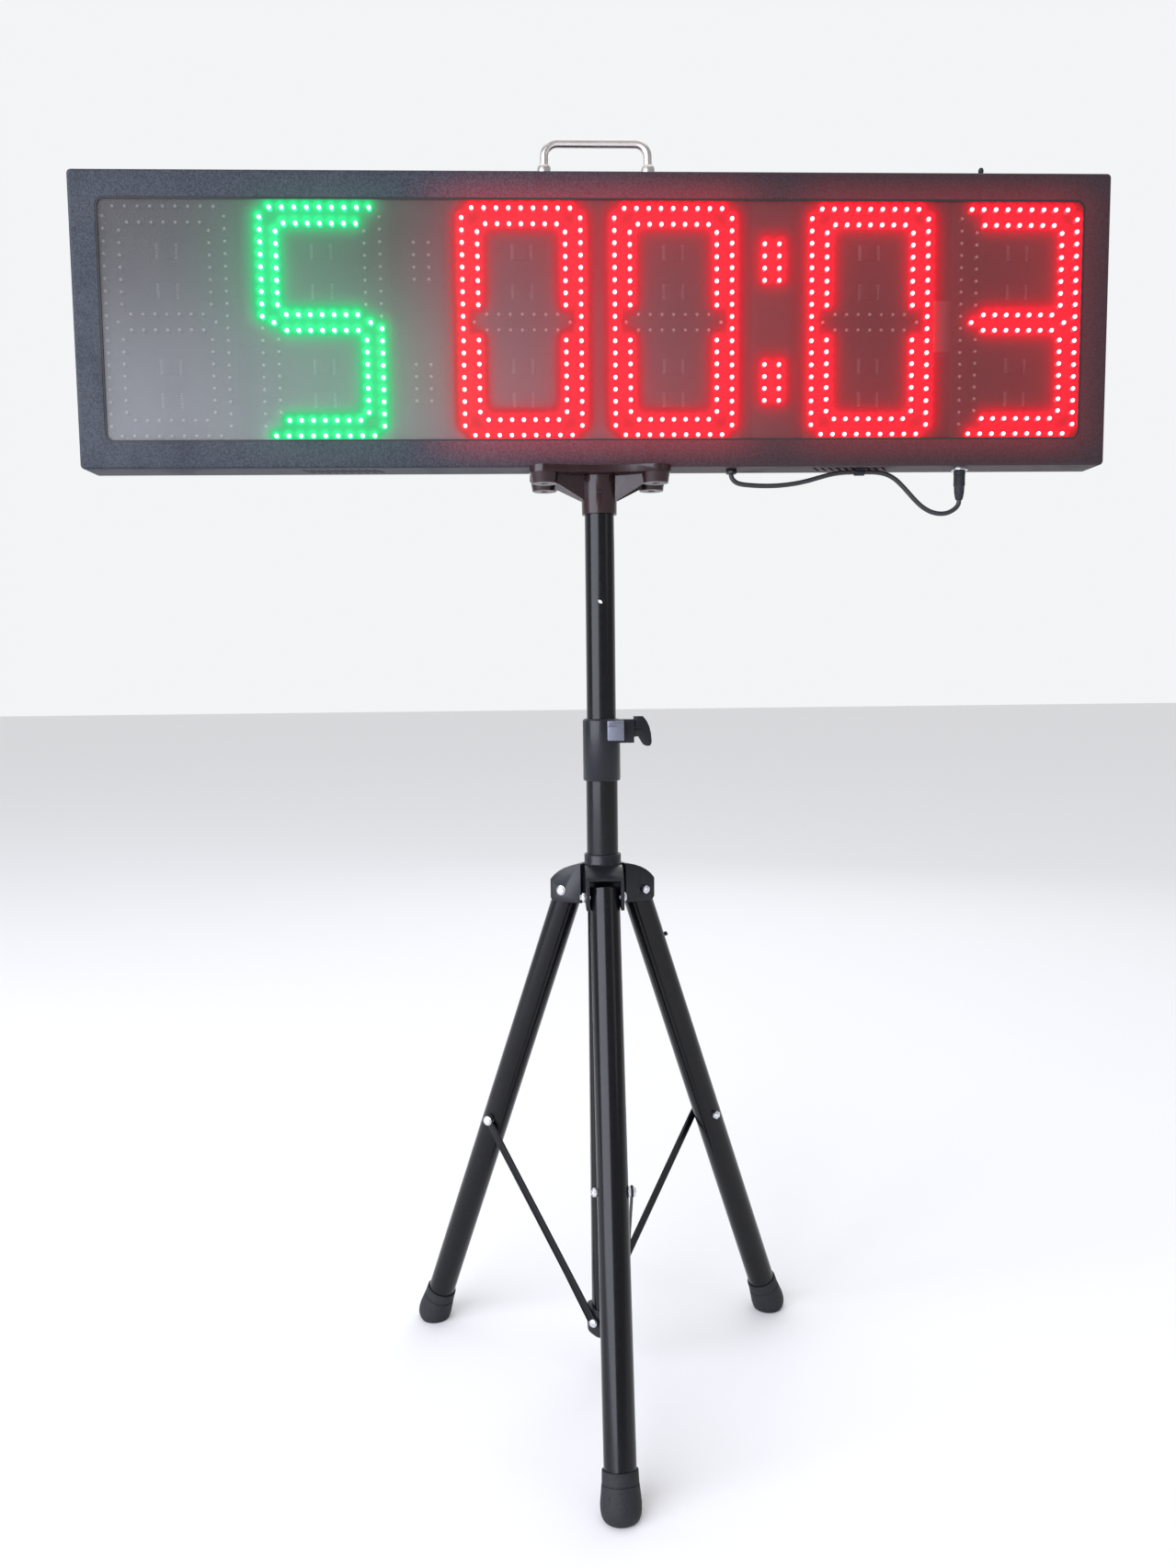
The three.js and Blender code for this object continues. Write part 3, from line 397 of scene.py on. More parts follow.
class Effects:
    """Shared shader groups: grain, handling marks and the painted glow round lit digits."""

    def __init__(self) -> None:
        """Builds each group once."""
        self.grain = self._grain()
        self.marks = self._marks()
        self.glow = self._glow()

    @staticmethod
    def _group(name: str, takes: Sequence[Tuple[str, str]],
               gives: Sequence[str]) -> Tuple[Wiring, bpy.types.Node, bpy.types.Node]:
        """Starts a group with named sockets."""
        tree = bpy.data.node_groups.new(name, "ShaderNodeTree")
        for title, kind in takes:
            tree.interface.new_socket(title, in_out="INPUT", socket_type="NodeSocket" + kind)
        for title in gives:
            tree.interface.new_socket(title, in_out="OUTPUT", socket_type="NodeSocketFloat")
        wiring = Wiring(tree)
        start = tree.nodes.new("NodeGroupInput")
        end = tree.nodes.new("NodeGroupOutput")
        return wiring, start, end

    def _grain(self) -> bpy.types.NodeTree:
        """Pebbles and fine noise: a height for bump, and a tint."""
        w, start, end = self._group(
            "Surface Grain", [("Vector", "Vector"), ("Scale", "Float")], ["Height", "Tint"])
        pebble = w.node("TexVoronoi", {"Vector": start.outputs[0], "Scale": start.outputs[1]},
                        feature="SMOOTH_F1")
        noise = w.node("TexNoise", {"Vector": start.outputs[0], "Scale": start.outputs[1],
                                    "Detail": 4.0, "Roughness": 0.6})
        height = w.math("ADD", w.math("MULTIPLY", pebble.outputs["Distance"], 0.7),
                        w.math("MULTIPLY", noise.outputs[0], 0.6))
        w.tree.links.new(height, end.inputs[0])
        w.tree.links.new(w.span(noise.outputs[0], 0.35, 0.68, 0.0, 1.0), end.inputs[1])
        return w.tree

    def _marks(self) -> bpy.types.NodeTree:
        """Broad smears and thin scuffs left by handling."""
        w, start, end = self._group(
            "Handling Marks", [("Vector", "Vector"), ("Amount", "Float")], ["Mask"])
        smear = w.node("TexNoise", {"Vector": start.outputs[0], "Scale": 14.0, "Detail": 5.0,
                                    "Distortion": 0.6})
        stretched = w.node("Mapping", {"Vector": start.outputs[0], "Scale": (260.0, 260.0, 22.0)})
        scuff = w.node("TexNoise", {"Vector": stretched.outputs[0], "Scale": 1.0, "Detail": 2.0})
        both = w.math("ADD", w.span(smear.outputs[0], 0.45, 0.75, 0.0, 0.8),
                      w.span(scuff.outputs[0], 0.62, 0.8, 0.0, 0.7))
        w.tree.links.new(w.math("MULTIPLY", both, start.outputs[1]), end.inputs[0])
        return w.tree

    def _glow(self) -> bpy.types.NodeTree:
        """Mask of the painted glow round a lit block of digits, fading sideways and upward."""
        w, start, end = self._group(
            "Digit Spill", [("Vector", "Vector"), ("Centre", "Float"), ("Half Width", "Float"),
                            ("Middle", "Float"), ("Half Height", "Float")], ["Mask"])
        axes = w.node("SeparateXYZ", {0: start.outputs[0]})
        beside = w.math("SUBTRACT", w.math(
            "ABSOLUTE", w.math("SUBTRACT", axes.outputs[0], start.outputs[1])), start.outputs[2])
        above = w.math("SUBTRACT", w.math(
            "ABSOLUTE", w.math("SUBTRACT", axes.outputs[2], start.outputs[3])), start.outputs[4])
        mask = w.math("MULTIPLY", w.span(beside, -0.03, 0.075, 1.0, 0.0),
                      w.span(above, -0.005, 0.046, 1.0, 0.0))
        w.tree.links.new(mask, end.inputs[0])
        return w.tree


EFFECTS = Effects()


@dataclass(frozen=True)
class Finish:
    """One surface finish.

    Attributes:
        name: the material's name.
        base: main colour.
        tint: colour of the grain's high spots.
        rough: roughness of the clean surface.
        worn: roughness added by handling marks.
        metal: metallic share.
        coat: clear coat weight.
        grain: grain cells per metre.
        depth: grain height in metres.
        shine: specular level, 0.5 for an ordinary surface.
    """

    name: str
    base: Colour
    tint: Colour
    rough: float
    worn: float = 0.12
    metal: float = 0.0
    coat: float = 0.0
    grain: float = 900.0
    depth: float = 0.00003
    shine: float = 0.5

    def start(self) -> Tuple[bpy.types.Material, Wiring, bpy.types.Node]:
        """Makes the material with its shader.

        Returns:
            The material, its wiring and its Principled shader.
        """
        material = bpy.data.materials.new(self.name)
        material.use_nodes = True
        wiring = Wiring(material.node_tree)
        shader = material.node_tree.nodes["Principled BSDF"]
        return material, wiring, shader

    def place(self, w: Wiring) -> bpy.types.NodeSocket:
        """Object coordinates."""
        return w.node("TexCoord").outputs["Object"]

    def colour(self, w: Wiring, spot: bpy.types.NodeSocket,
               tint: bpy.types.NodeSocket) -> bpy.types.NodeSocket:
        """The colour over the surface."""
        return w.blend(tint, colour4(self.base), colour4(self.tint))

    def make(self) -> bpy.types.Material:
        """Builds the material."""
        material, w, shader = self.start()
        spot = self.place(w)
        grain = w.node("Group", node_tree=EFFECTS.grain)
        w.tree.links.new(spot, grain.inputs[0])
        grain.inputs[1].default_value = self.grain
        marks = w.node("Group", node_tree=EFFECTS.marks)
        w.tree.links.new(w.node("TexCoord").outputs["Object"], marks.inputs[0])
        marks.inputs[1].default_value = 1.0
        tree = w.tree
        tree.links.new(self.colour(w, spot, grain.outputs[1]), shader.inputs["Base Color"])
        rough = w.span(marks.outputs[0], 0.0, 1.0, self.rough, self.rough + self.worn)
        tree.links.new(rough, shader.inputs["Roughness"])
        shader.inputs["Metallic"].default_value = self.metal
        shader.inputs["Coat Weight"].default_value = self.coat
        shader.inputs["Specular IOR Level"].default_value = self.shine
        shader.inputs["Coat Roughness"].default_value = 0.08
        bump = w.node("Bump", {"Height": grain.outputs[0], "Distance": self.depth, "Strength": 1.0})
        tree.links.new(bump.outputs[0], shader.inputs["Normal"])
        self.extra(w, shader)
        return material

    def extra(self, w: Wiring, shader: bpy.types.Node) -> None:
        """Room for a finish that adds more."""


@dataclass(frozen=True)
class GlowingCoat(Finish):
    """Powder coat with painted light from the lit digits: a painted glow spilt through the window
    and a painted red tint towards the red digits.
    """

    middle: float = 1.28
    front: float = 0.043
    spills: Tuple[Tuple[float, float, Colour, float], ...] = ()
    # Colour and span across the case of the painted red glow from the red digits.
    painted_red_glow: Colour = (0.022, 0.009, 0.010)
    painted_red_from: float = -0.2
    painted_red_to: float = 0.25

    def colour(self, w: Wiring, spot: bpy.types.NodeSocket,
               tint: bpy.types.NodeSocket) -> bpy.types.NodeSocket:
        """The coat's blue-black, with a painted red glow towards the red digits' side."""
        across = w.node("SeparateXYZ", {0: spot}).outputs[0]
        base = w.blend(w.span(across, self.painted_red_from, self.painted_red_to, 0.0, 0.85),
                       colour4(self.base), colour4(self.painted_red_glow))
        tinted = w.blend(w.span(across, self.painted_red_from, self.painted_red_to, 0.0, 0.6),
                         colour4(self.tint), colour4(self.painted_red_glow))
        return w.blend(tint, base, tinted)

    def extra(self, w: Wiring, shader: bpy.types.Node) -> None:
        """Adds, as emission, the painted glow of each lit block on the front face."""
        coords = w.node("TexCoord").outputs["Object"]
        depth = w.node("SeparateXYZ", {0: coords}).outputs[1]
        face = w.span(depth, self.front + 0.0005, self.front + 0.006, 1.0, 0.35)
        # The painted glow of the lit blocks, added block by block.
        light: object = (0.0, 0.0, 0.0, 1.0)
        for centre, half, colour, power in self.spills:
            spill = w.node("Group", node_tree=EFFECTS.glow)
            w.tree.links.new(coords, spill.inputs[0])
            for index, value in ((1, centre), (2, half), (3, self.middle), (4, 0.127)):
                spill.inputs[index].default_value = value
            share = w.math("MULTIPLY", w.math("MULTIPLY", spill.outputs[0], face), power)
            light = w.blend(share, light, colour4(colour))
        w.tree.links.new(light, shader.inputs["Emission Color"])
        shader.inputs["Emission Strength"].default_value = 1.0


@dataclass(frozen=True)
class CircuitBoard(Finish):
    """Dark solder mask over a net of copper tracks."""

    def colour(self, w: Wiring, spot: bpy.types.NodeSocket,
               tint: bpy.types.NodeSocket) -> bpy.types.NodeSocket:
        """Solder mask with tracks a little lighter."""
        turned = w.node("Mapping", {"Vector": spot, "Rotation": (math.pi / 2, 0.0, 0.0)})
        tracks = w.node("TexBrick", {
            "Vector": turned.outputs[0], "Scale": 60.0, "Mortar Size": 0.03,
            "Color1": colour4(self.base), "Color2": colour4(self.base),
            "Mortar": colour4(self.tint)})
        return w.blend(w.math("MULTIPLY", tint, 0.3), tracks.outputs[0], colour4(self.tint))


@dataclass(frozen=True)
class ClearDome(Finish):
    """An unlit LED: a clear lens with its pale die cup showing in the middle."""

    cup: Colour = (0.8, 0.78, 0.74)

    def colour(self, w: Wiring, spot: bpy.types.NodeSocket,
               tint: bpy.types.NodeSocket) -> bpy.types.NodeSocket:
        """A dim lens, pale where it faces forwards."""
        facing = w.node("SeparateXYZ", {0: w.node("NewGeometry").outputs["Normal"]}).outputs[1]
        lens = w.blend(tint, colour4(self.base), colour4(self.tint))
        return w.blend(w.span(facing, -0.85, -0.45, 1.0, 0.0), lens, colour4(self.cup))

    def extra(self, w: Wiring, shader: bpy.types.Node) -> None:
        """Paints a faint glow on the die cup, standing in for stray light inside the case."""
        facing = w.node("SeparateXYZ", {0: w.node("NewGeometry").outputs["Normal"]}).outputs[1]
        share = w.span(facing, -0.85, -0.45, 0.22, 0.0)
        w.tree.links.new(w.blend(share, (0.0, 0.0, 0.0, 1.0), colour4(self.cup)),
                         shader.inputs["Emission Color"])
        shader.inputs["Emission Strength"].default_value = 1.0


@dataclass(frozen=True)
class LightDome(Finish):
    """A lit LED: a white-hot tip over a coloured skirt."""

    skirt: Colour = (1.0, 0.05, 0.15)
    tip: float = 0.0
    power: float = 9.0

    def extra(self, w: Wiring, shader: bpy.types.Node) -> None:
        """Makes the dome shine, whiter towards its tip."""
        depth = w.node("SeparateXYZ", {0: w.node("TexCoord").outputs["Object"]}).outputs[1]
        share = w.span(depth, self.tip, self.tip + 0.004, 1.0, 0.0)
        w.tree.links.new(w.blend(share, colour4(self.skirt), (1.0, 1.0, 1.0, 1.0)),
                         shader.inputs["Emission Color"])
        shader.inputs["Emission Strength"].default_value = self.power


@dataclass(frozen=True)
class SmokedSheet(Finish):
    """The window's smoked diffusing sheet; the light it scatters from the LEDs behind it is a
    painted glow.
    """

    alpha: float = 0.5
    # Bounds of the painted reflection across and up the sheet, and its colour at the lower left.
    left: float = -0.57
    right: float = 0.57
    low: float = 1.15
    high: float = 1.41
    light: Colour = (0.22, 0.225, 0.235)

    def colour(self, w: Wiring, spot: bpy.types.NodeSocket,
               tint: bpy.types.NodeSocket) -> bpy.types.NodeSocket:
        """Smoke with a painted reflection of the window light, paler towards the lower left corner.
        """
        axes = w.node("SeparateXYZ", {0: spot})
        across = w.span(axes.outputs[0], self.left, self.right * 0.6, 1.0, 0.0)
        down = w.span(axes.outputs[2], self.low, self.high, 1.0, 0.25)
        painted_reflection = w.blend(w.math("MULTIPLY", across, down), colour4(self.base), colour4(self.light))
        painted_glow = w.node("Attribute", attribute_name="painted_glow", attribute_type="GEOMETRY")
        lit = w.node("SeparateColor", {0: painted_glow.outputs["Color"]})
        share = w.span(w.math("ADD", lit.outputs[0], lit.outputs[1]), 0.05, 0.9, 0.0, 1.0)
        return w.blend(share, painted_reflection, (0.0, 0.0, 0.0, 1.0))

    def extra(self, w: Wiring, shader: bpy.types.Node) -> None:
        """Adds see-through and the painted glow of scattered LED light stored on the mesh."""
        shader.inputs["Alpha"].default_value = self.alpha
        painted_glow = w.node("Attribute", attribute_name="painted_glow", attribute_type="GEOMETRY")
        w.tree.links.new(painted_glow.outputs["Color"], shader.inputs["Emission Color"])
        shader.inputs["Emission Strength"].default_value = 1.0


class Palette:
    """Every material of the timer, made once."""

    GREEN: Colour = (0.0, 0.70, 0.20)
    RED: Colour = (1.0, 0.002, 0.018)

    def __init__(self) -> None:
        """Makes the materials from their finishes."""
        low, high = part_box("front_bezel")
        middle = (low.z + high.z) / 2
        # Painted glow of each lit block on the case front: centre, half width, colour and strength.
        red = (0.26, 0.006, 0.010)
        spills = ((-0.3165, 0.06, (0.0, 0.05, 0.022), 0.7), (0.0, 0.155, red, 0.95),
                  (0.395, 0.145, red, 0.6))
        finishes = {
            "case": GlowingCoat("case_powder_coat", (0.009, 0.012, 0.019), (0.032, 0.040, 0.056),
                                0.5, 0.14, 0.1, 0.0, 520.0, 0.0003, 0.35, middle=middle,
                                front=low.y, spills=spills),
            "cover": Finish("cover_powder_coat", (0.010, 0.012, 0.018), (0.030, 0.036, 0.048),
                            0.52, 0.14, 0.1, 0.0, 520.0, 0.0003),
            "tube": Finish("tube_gloss_coat", (0.003, 0.003, 0.004), (0.005, 0.005, 0.007),
                           0.2, 0.12, 0.0, 0.12, 240.0, 0.000012, 0.22),
            "plastic": Finish("moulded_black", (0.005, 0.006, 0.009), (0.010, 0.011, 0.015),
                              0.3, 0.2, 0.0, 0.08, 1500.0, 0.00002, 0.28),
            # The bracket is black; its red-brown colour is a painted glow of the red digits' light.
            "bracket": Finish("bracket_black_painted_red_glow", (0.012, 0.003, 0.004), (0.022, 0.006, 0.008),
                              0.26, 0.2, 0.0, 0.15, 1500.0, 0.00002, 0.32),
            "rubber": Finish("foot_rubber", (0.012, 0.013, 0.015), (0.026, 0.027, 0.031),
                             0.62, 0.2, 0.0, 0.0, 1100.0, 0.00005, 0.25),
            "cable": Finish("cable_sheath", (0.012, 0.012, 0.013), (0.022, 0.022, 0.024),
                            0.48, 0.2, 0.0, 0.0, 1800.0, 0.00002),
            "nickel": Finish("handle_nickel", (0.62, 0.58, 0.55), (0.68, 0.64, 0.61),
                             0.28, 0.12, 1.0, 0.0, 700.0, 0.000002),
            "zinc": Finish("fastener_zinc", (0.62, 0.64, 0.68), (0.78, 0.79, 0.82),
                           0.26, 0.2, 1.0, 0.0, 1300.0, 0.00002),
            "steel": Finish("clamp_steel", (0.15, 0.16, 0.20), (0.21, 0.22, 0.27),
                            0.36, 0.2, 0.85, 0.0, 1300.0, 0.00001),
            "supply": Finish("supply_shell", (0.50, 0.52, 0.53), (0.64, 0.66, 0.67),
                             0.38, 0.2, 0.9, 0.0, 1200.0, 0.00002),
            "board": CircuitBoard("board_mask", (0.010, 0.014, 0.013), (0.045, 0.055, 0.05),
                                  0.5, 0.1, 0.0, 0.0, 800.0, 0.00002),
            "chip": Finish("chip_body", (0.02, 0.02, 0.021), (0.035, 0.035, 0.036),
                           0.5, 0.1, 0.0, 0.0, 2500.0, 0.00001),
            "solder": Finish("solder_leads", (0.75, 0.76, 0.75), (0.9, 0.9, 0.9),
                             0.4, 0.2, 0.2, 0.0, 2500.0, 0.00001),
            "clear_dome": ClearDome("unlit_dome", (0.07, 0.07, 0.065), (0.12, 0.12, 0.11),
                                    0.22, 0.1, 0.0, 0.4, 2200.0, 0.00001),
            # Near-black: painted shade of the recess round the window.
            "gasket": Finish("window_recess_shade", (0.006, 0.006, 0.007), (0.012, 0.012, 0.013),
                             0.6, 0.1, 0.0, 0.0, 1500.0, 0.00002),
            "smoke": SmokedSheet("window_smoke", (0.030, 0.024, 0.024), (0.055, 0.05, 0.05),
                                 0.55, 0.1, 0.0, 0.0, 1400.0, 0.000001),
        }
        tip = low.y + 0.0062
        for name, skirt in (("green_dome", self.GREEN), ("red_dome", self.RED)):
            finishes[name] = LightDome(name, skirt, (1.0, 1.0, 1.0), 0.3, skirt=skirt, tip=tip)
        self.made = {key: finish.make() for key, finish in finishes.items()}

    def __getitem__(self, key: str) -> bpy.types.Material:
        """The material of a finish."""
        return self.made[key]


# ---------------------------------------------------------------------------- stage and camera


@dataclass
class Studio:
    """Pale floor, soft lights and the camera."""

    lens: float = 26.82
    sensor: float = 36.0
    eye: Tuple[float, float, float] = (-0.06798, -1.3408, 0.87197)
    pitch: float = 5.233
    roll: float = 0.608
    yaw: float = -2.079
    floor_tone: Colour = (0.84, 0.84, 0.85)
    sky_power: float = 0.8
    near_wall: Colour = (0.42, 0.42, 0.44)
    far_wall: Colour = (0.90, 0.91, 0.92)

    def build(self) -> None:
        """Builds the camera, the floor and the lights."""
        self.camera()
        self.floor()
        self.lights()

    def camera(self) -> None:
        """Sets the camera by its eye point and three angles in degrees."""
        data = bpy.data.cameras.new("camera")
        data.lens, data.sensor_width, data.sensor_fit = self.lens, self.sensor, "AUTO"
        camera = Bench.link("camera", data)
        pitch, roll, yaw = (math.radians(a) for a in (self.pitch, self.roll, self.yaw))
        side = Vector((math.cos(yaw), math.sin(yaw), 0))
        ahead = Vector((-math.sin(yaw), math.cos(yaw), 0))
        look = ahead * math.cos(pitch) - UP * math.sin(pitch)
        top = ahead * math.sin(pitch) + UP * math.cos(pitch)
        right = side * math.cos(roll) - top * math.sin(roll)
        above = side * math.sin(roll) + top * math.cos(roll)
        turn = Matrix((right, above, -look)).transposed().to_4x4()
        camera.matrix_world = Matrix.Translation(Vector(self.eye)) @ turn
        bpy.context.scene.camera = camera

    def floor(self) -> None:
        """Adds the plain pale floor."""
        Bench.clear()
        bpy.ops.mesh.primitive_plane_add(size=60, location=(0, 0, 0))
        floor = Bench.title("floor")
        material = bpy.data.materials.new("floor_paper")
        material.use_nodes = True
        shader = material.node_tree.nodes["Principled BSDF"]
        shader.inputs["Base Color"].default_value = colour4(self.floor_tone)
        shader.inputs["Roughness"].default_value = 0.9
        floor.data.materials.append(material)

    def lights(self) -> None:
        """Adds soft boxes and a pale surround."""
        rows = (
            ("window", (-3.6, -3.5, 2.0), (0, 0.07, 0.8), 6.0, 4.0, 470.0, (0.86, 0.88, 1.0)),
            ("fill", (3.0, -2.2, 2.0), (0, 0, 0.8), 1.2, 1.6, 6.0, (1.0, 0.96, 0.94)),
            ("top", (0, 0.6, 3.6), (0, 0, 0.6), 3.0, 2.0, 8.0, (1.0, 1.0, 1.0)),
            ("back", (1.0, 3.2, 2.2), (0, 0, 0.9), 2.4, 1.6, 14.0, (1.0, 1.0, 1.0)),
        )
        for name, spot, aim, width, height, power, tone in rows:
            data = bpy.data.lights.new(name, "AREA")
            data.shape, data.size, data.size_y = "RECTANGLE", width, height
            data.energy, data.color = power, tone
            light = Bench.link(name, data)
            way = Vector(aim) - Vector(spot)
            light.matrix_world = Matrix.Translation(spot) @ way.to_track_quat(
                "-Z", "Y").to_matrix().to_4x4()
        sky = bpy.data.lights.new("sky", "SUN")
        sky.energy, sky.angle = self.sky_power, math.radians(70)
        Bench.link("sky", sky)
        world = bpy.data.worlds.new("surround")
        world.use_nodes = True
        w = Wiring(world.node_tree)
        way = w.node("SeparateXYZ", {0: w.node("TexCoord").outputs["Generated"]}).outputs[1]
        tone = w.blend(w.span(way, 0.1, 0.7, 0.0, 1.0), colour4(self.near_wall),
                       colour4(self.far_wall))
        world.node_tree.links.new(tone, world.node_tree.nodes["Background"].inputs[0])
        bpy.context.scene.world = world
        bpy.context.scene.view_settings.view_transform = "Standard"


# ---------------------------------------------------------------------------- sub-assemblies


def rounded(width: float, height: float, radius: float,
            centre: Tuple[float, float] = (0.0, 0.0), steps: int = 8) -> List[Tuple[float, float]]:
    """Points of a rounded rectangle, anticlockwise.

    Args:
        width: full width.
        height: full height.
        radius: corner radius.
        centre: middle of the rectangle.
        steps: parts in each corner.

    Returns:
        The outline's points.
    """
    points = []
    for quarter, (sx, sy) in enumerate(((1, -1), (1, 1), (-1, 1), (-1, -1))):
        cx = centre[0] + sx * (width / 2 - radius)
        cy = centre[1] + sy * (height / 2 - radius)
        for i in range(steps + 1):
            turn = math.pi / 2 * (quarter - 1 + i / steps)
            points.append((cx + radius * math.cos(turn), cy + radius * math.sin(turn)))
    return points


@dataclass
class Assembly:
    """What every sub-assembly shares: dressing a piece and fitting it to its body.

    Attributes:
        palette: the materials.
        made: the pieces so far.
    """

    palette: Palette
    made: List[bpy.types.Object] = field(default_factory=list)

    def fit(self, obj: bpy.types.Object, body: str, finish: str, slot: str, *nodes: str,
            smooth: float = 32.0) -> bpy.types.Object:
        """Shades, dresses and fits a finished piece.

        Args:
            obj: the finished piece.
            body: the frame body it rides on.
            finish: its material's key.
            slot: the record's material slot; not used.
            nodes: frame nodes that it stands for.
            smooth: angle kept sharp, in degrees.

        Returns:
            The same piece.
        """
        if obj.type == "MESH":
            Bench.smooth(obj, smooth)
        obj.data.materials.clear()
        obj.data.materials.append(self.palette[finish])
        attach(obj, body)
        if nodes:
            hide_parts(*nodes)
        self.made.append(obj)
        return obj

    def mould(self, name: str, node: str, body: str, finish: str = "plastic",
              slot: str = "black_plastic", round_by: float = 0.5 * MM, steps: int = 2,
              angle: float = 40.0, smooth: float = 40.0) -> bpy.types.Object:
        """Copies a frame node, rounds its edges and fits it.

        Args:
            name: the new piece's name.
            node: the frame node that it follows and stands for.
            body: the frame body it rides on.
            finish: its material's key.
            slot: the record's material slot.
            round_by: width of the rounding.
            steps: parts in the rounding.
            angle: edges sharper than this are rounded, in degrees.
            smooth: edges sharper than this stay sharp in the shading, in degrees.

        Returns:
            The new piece.
        """
        obj = Bench.soften(Bench.from_frame(name, node), round_by, steps, angle)
        return self.fit(obj, body, finish, slot, node, smooth=smooth)

    def keep(self, node: str, finish: str) -> None:
        """Gives a frame node that stays its material."""
        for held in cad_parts[node].material_slots:
            held.material = self.palette[finish]


def face_place(y: float) -> Matrix:
    """Local X to the right, local Y up and local Z towards the front, from a depth."""
    return Matrix(((1, 0, 0, 0), (0, 0, -1, y), (0, 1, 0, 0), (0, 0, 0, 1)))


@dataclass
class Case(Assembly):
    """The bent sheet case, its window and its rear cover."""

    corner: float = 5 * MM
    bend: float = 3 * MM
    sheet: float = 1.2 * MM
    margin: float = 30 * MM
    window_corner: float = 10 * MM
    vent_pitch: float = 9 * MM
    vent_size: Tuple[float, float] = (3.2 * MM, 24 * MM)
    vent_slant: float = 0.5
    vent_offset: float = 0.299
    vents: int = 10
    screw_inset: float = 9 * MM
    screw_columns: int = 8
    screw_rows: int = 3

    def build(self) -> None:
        """Builds the case's pieces."""
        self.low, self.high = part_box("front_bezel")
        self.centre = (self.low + self.high) / 2
        self.bezel()
        self.shade_bead()
        self.cover()

    def window(self, trim: float, thickness: float, y: float, name: str) -> bpy.types.Object:
        """A slab the shape of the window, smaller by a trim all round."""
        width = self.high.x - self.low.x - 2 * (self.margin + trim)
        height = self.high.z - self.low.z - 2 * (self.margin + trim)
        outline = rounded(width, height, self.window_corner - trim, (0.0, self.centre.z))
        return Bench.slab(name, outline, thickness, face_place(y + thickness))

    def bezel(self) -> None:
        """Front tray with rounded bends, the window and the slanted vents."""
        obj = Bench.box("case_bezel", self.low, self.high)
        Bench.edit(obj)
        Bench.choose_edges(obj, lambda way: abs(way.y) > SQUARE)
        bpy.ops.mesh.bevel(offset=self.corner, segments=6, affect="EDGES")
        Bench.choose_faces(obj, lambda normal: normal.y < -SQUARE)
        bpy.ops.mesh.region_to_loop()
        bpy.ops.mesh.bevel(offset=self.bend, segments=5, affect="EDGES")
        Bench.choose_faces(obj, lambda normal: normal.y > SQUARE)
        bpy.ops.mesh.delete(type="FACE")
        Bench.close()
        Bench.apply(obj, "SOLIDIFY", thickness=self.sheet, offset=-1.0, use_even_offset=True)
        front = self.low.y
        hole = self.window(0.0, 4 * self.sheet, front - 2 * self.sheet, "window_tool")
        slot = Bench.slab("vent_tool", rounded(*self.vent_size, self.vent_size[0] / 2 - 0.1 * MM),
                          4 * self.sheet, Matrix.Rotation(-self.vent_slant, 4, "Z"))
        places = [
            (side * self.vent_offset + (i - (self.vents - 1) / 2) * self.vent_pitch,
             self.centre.y, self.low.z - 2 * self.sheet)
            for side in (-1, 1) for i in range(self.vents)]
        slots = Bench.repeat("vent_tools", slot, places)
        Bench.cut(obj, hole, slots)
        self.fit(obj, "display", "case", "case_coat", "front_bezel", smooth=28)

    def shade_bead(self) -> None:
        """Thin dark bead round the window's edge: painted shade standing in for the shaded recess
        between the bezel and the sheet.
        """
        front = self.low.y + 0.45 * MM
        ring = self.window(0.05 * MM, 1.0 * MM, front, "window_recess_shade")
        Bench.cut(ring, self.window(2.1 * MM, 4 * MM, front - 2 * MM, "shade_bead_tool"))
        self.fit(ring, "display", "gasket", "black_plastic")

    def cover(self) -> None:
        """The rear cover's finish, and the screws that hold it."""
        self.keep("rear_cover", "cover")
        head = Bench.lathe("screw_master", [
            (0.0, 0.9 * MM), (1.1 * MM, 0.9 * MM), (1.5 * MM, 1.7 * MM), (2.4 * MM, 1.5 * MM),
            (3.0 * MM, 0.7 * MM), (3.1 * MM, 0.0), (0.0, 0.0)],
            along((0, 0, 0), (0, 1, 0)), steps=10)
        inset = self.screw_inset
        xs = np.linspace(self.low.x + inset, self.high.x - inset, self.screw_columns)
        zs = np.linspace(self.low.z + inset, self.high.z - inset, self.screw_rows)
        places = [(x, self.high.y, z) for x in xs for z in (zs[0], zs[-1])]
        places += [(x, self.high.y, zs[1]) for x in (xs[0], xs[-1])]
        screws = Bench.repeat("cover_screws", head, places)
        self.fit(screws, "display", "zinc", "zinc")


class Lamp(Enum):
    """What a group of LEDs shows."""

    OFF = "clear_dome"
    GREEN = "green_dome"
    RED = "red_dome"


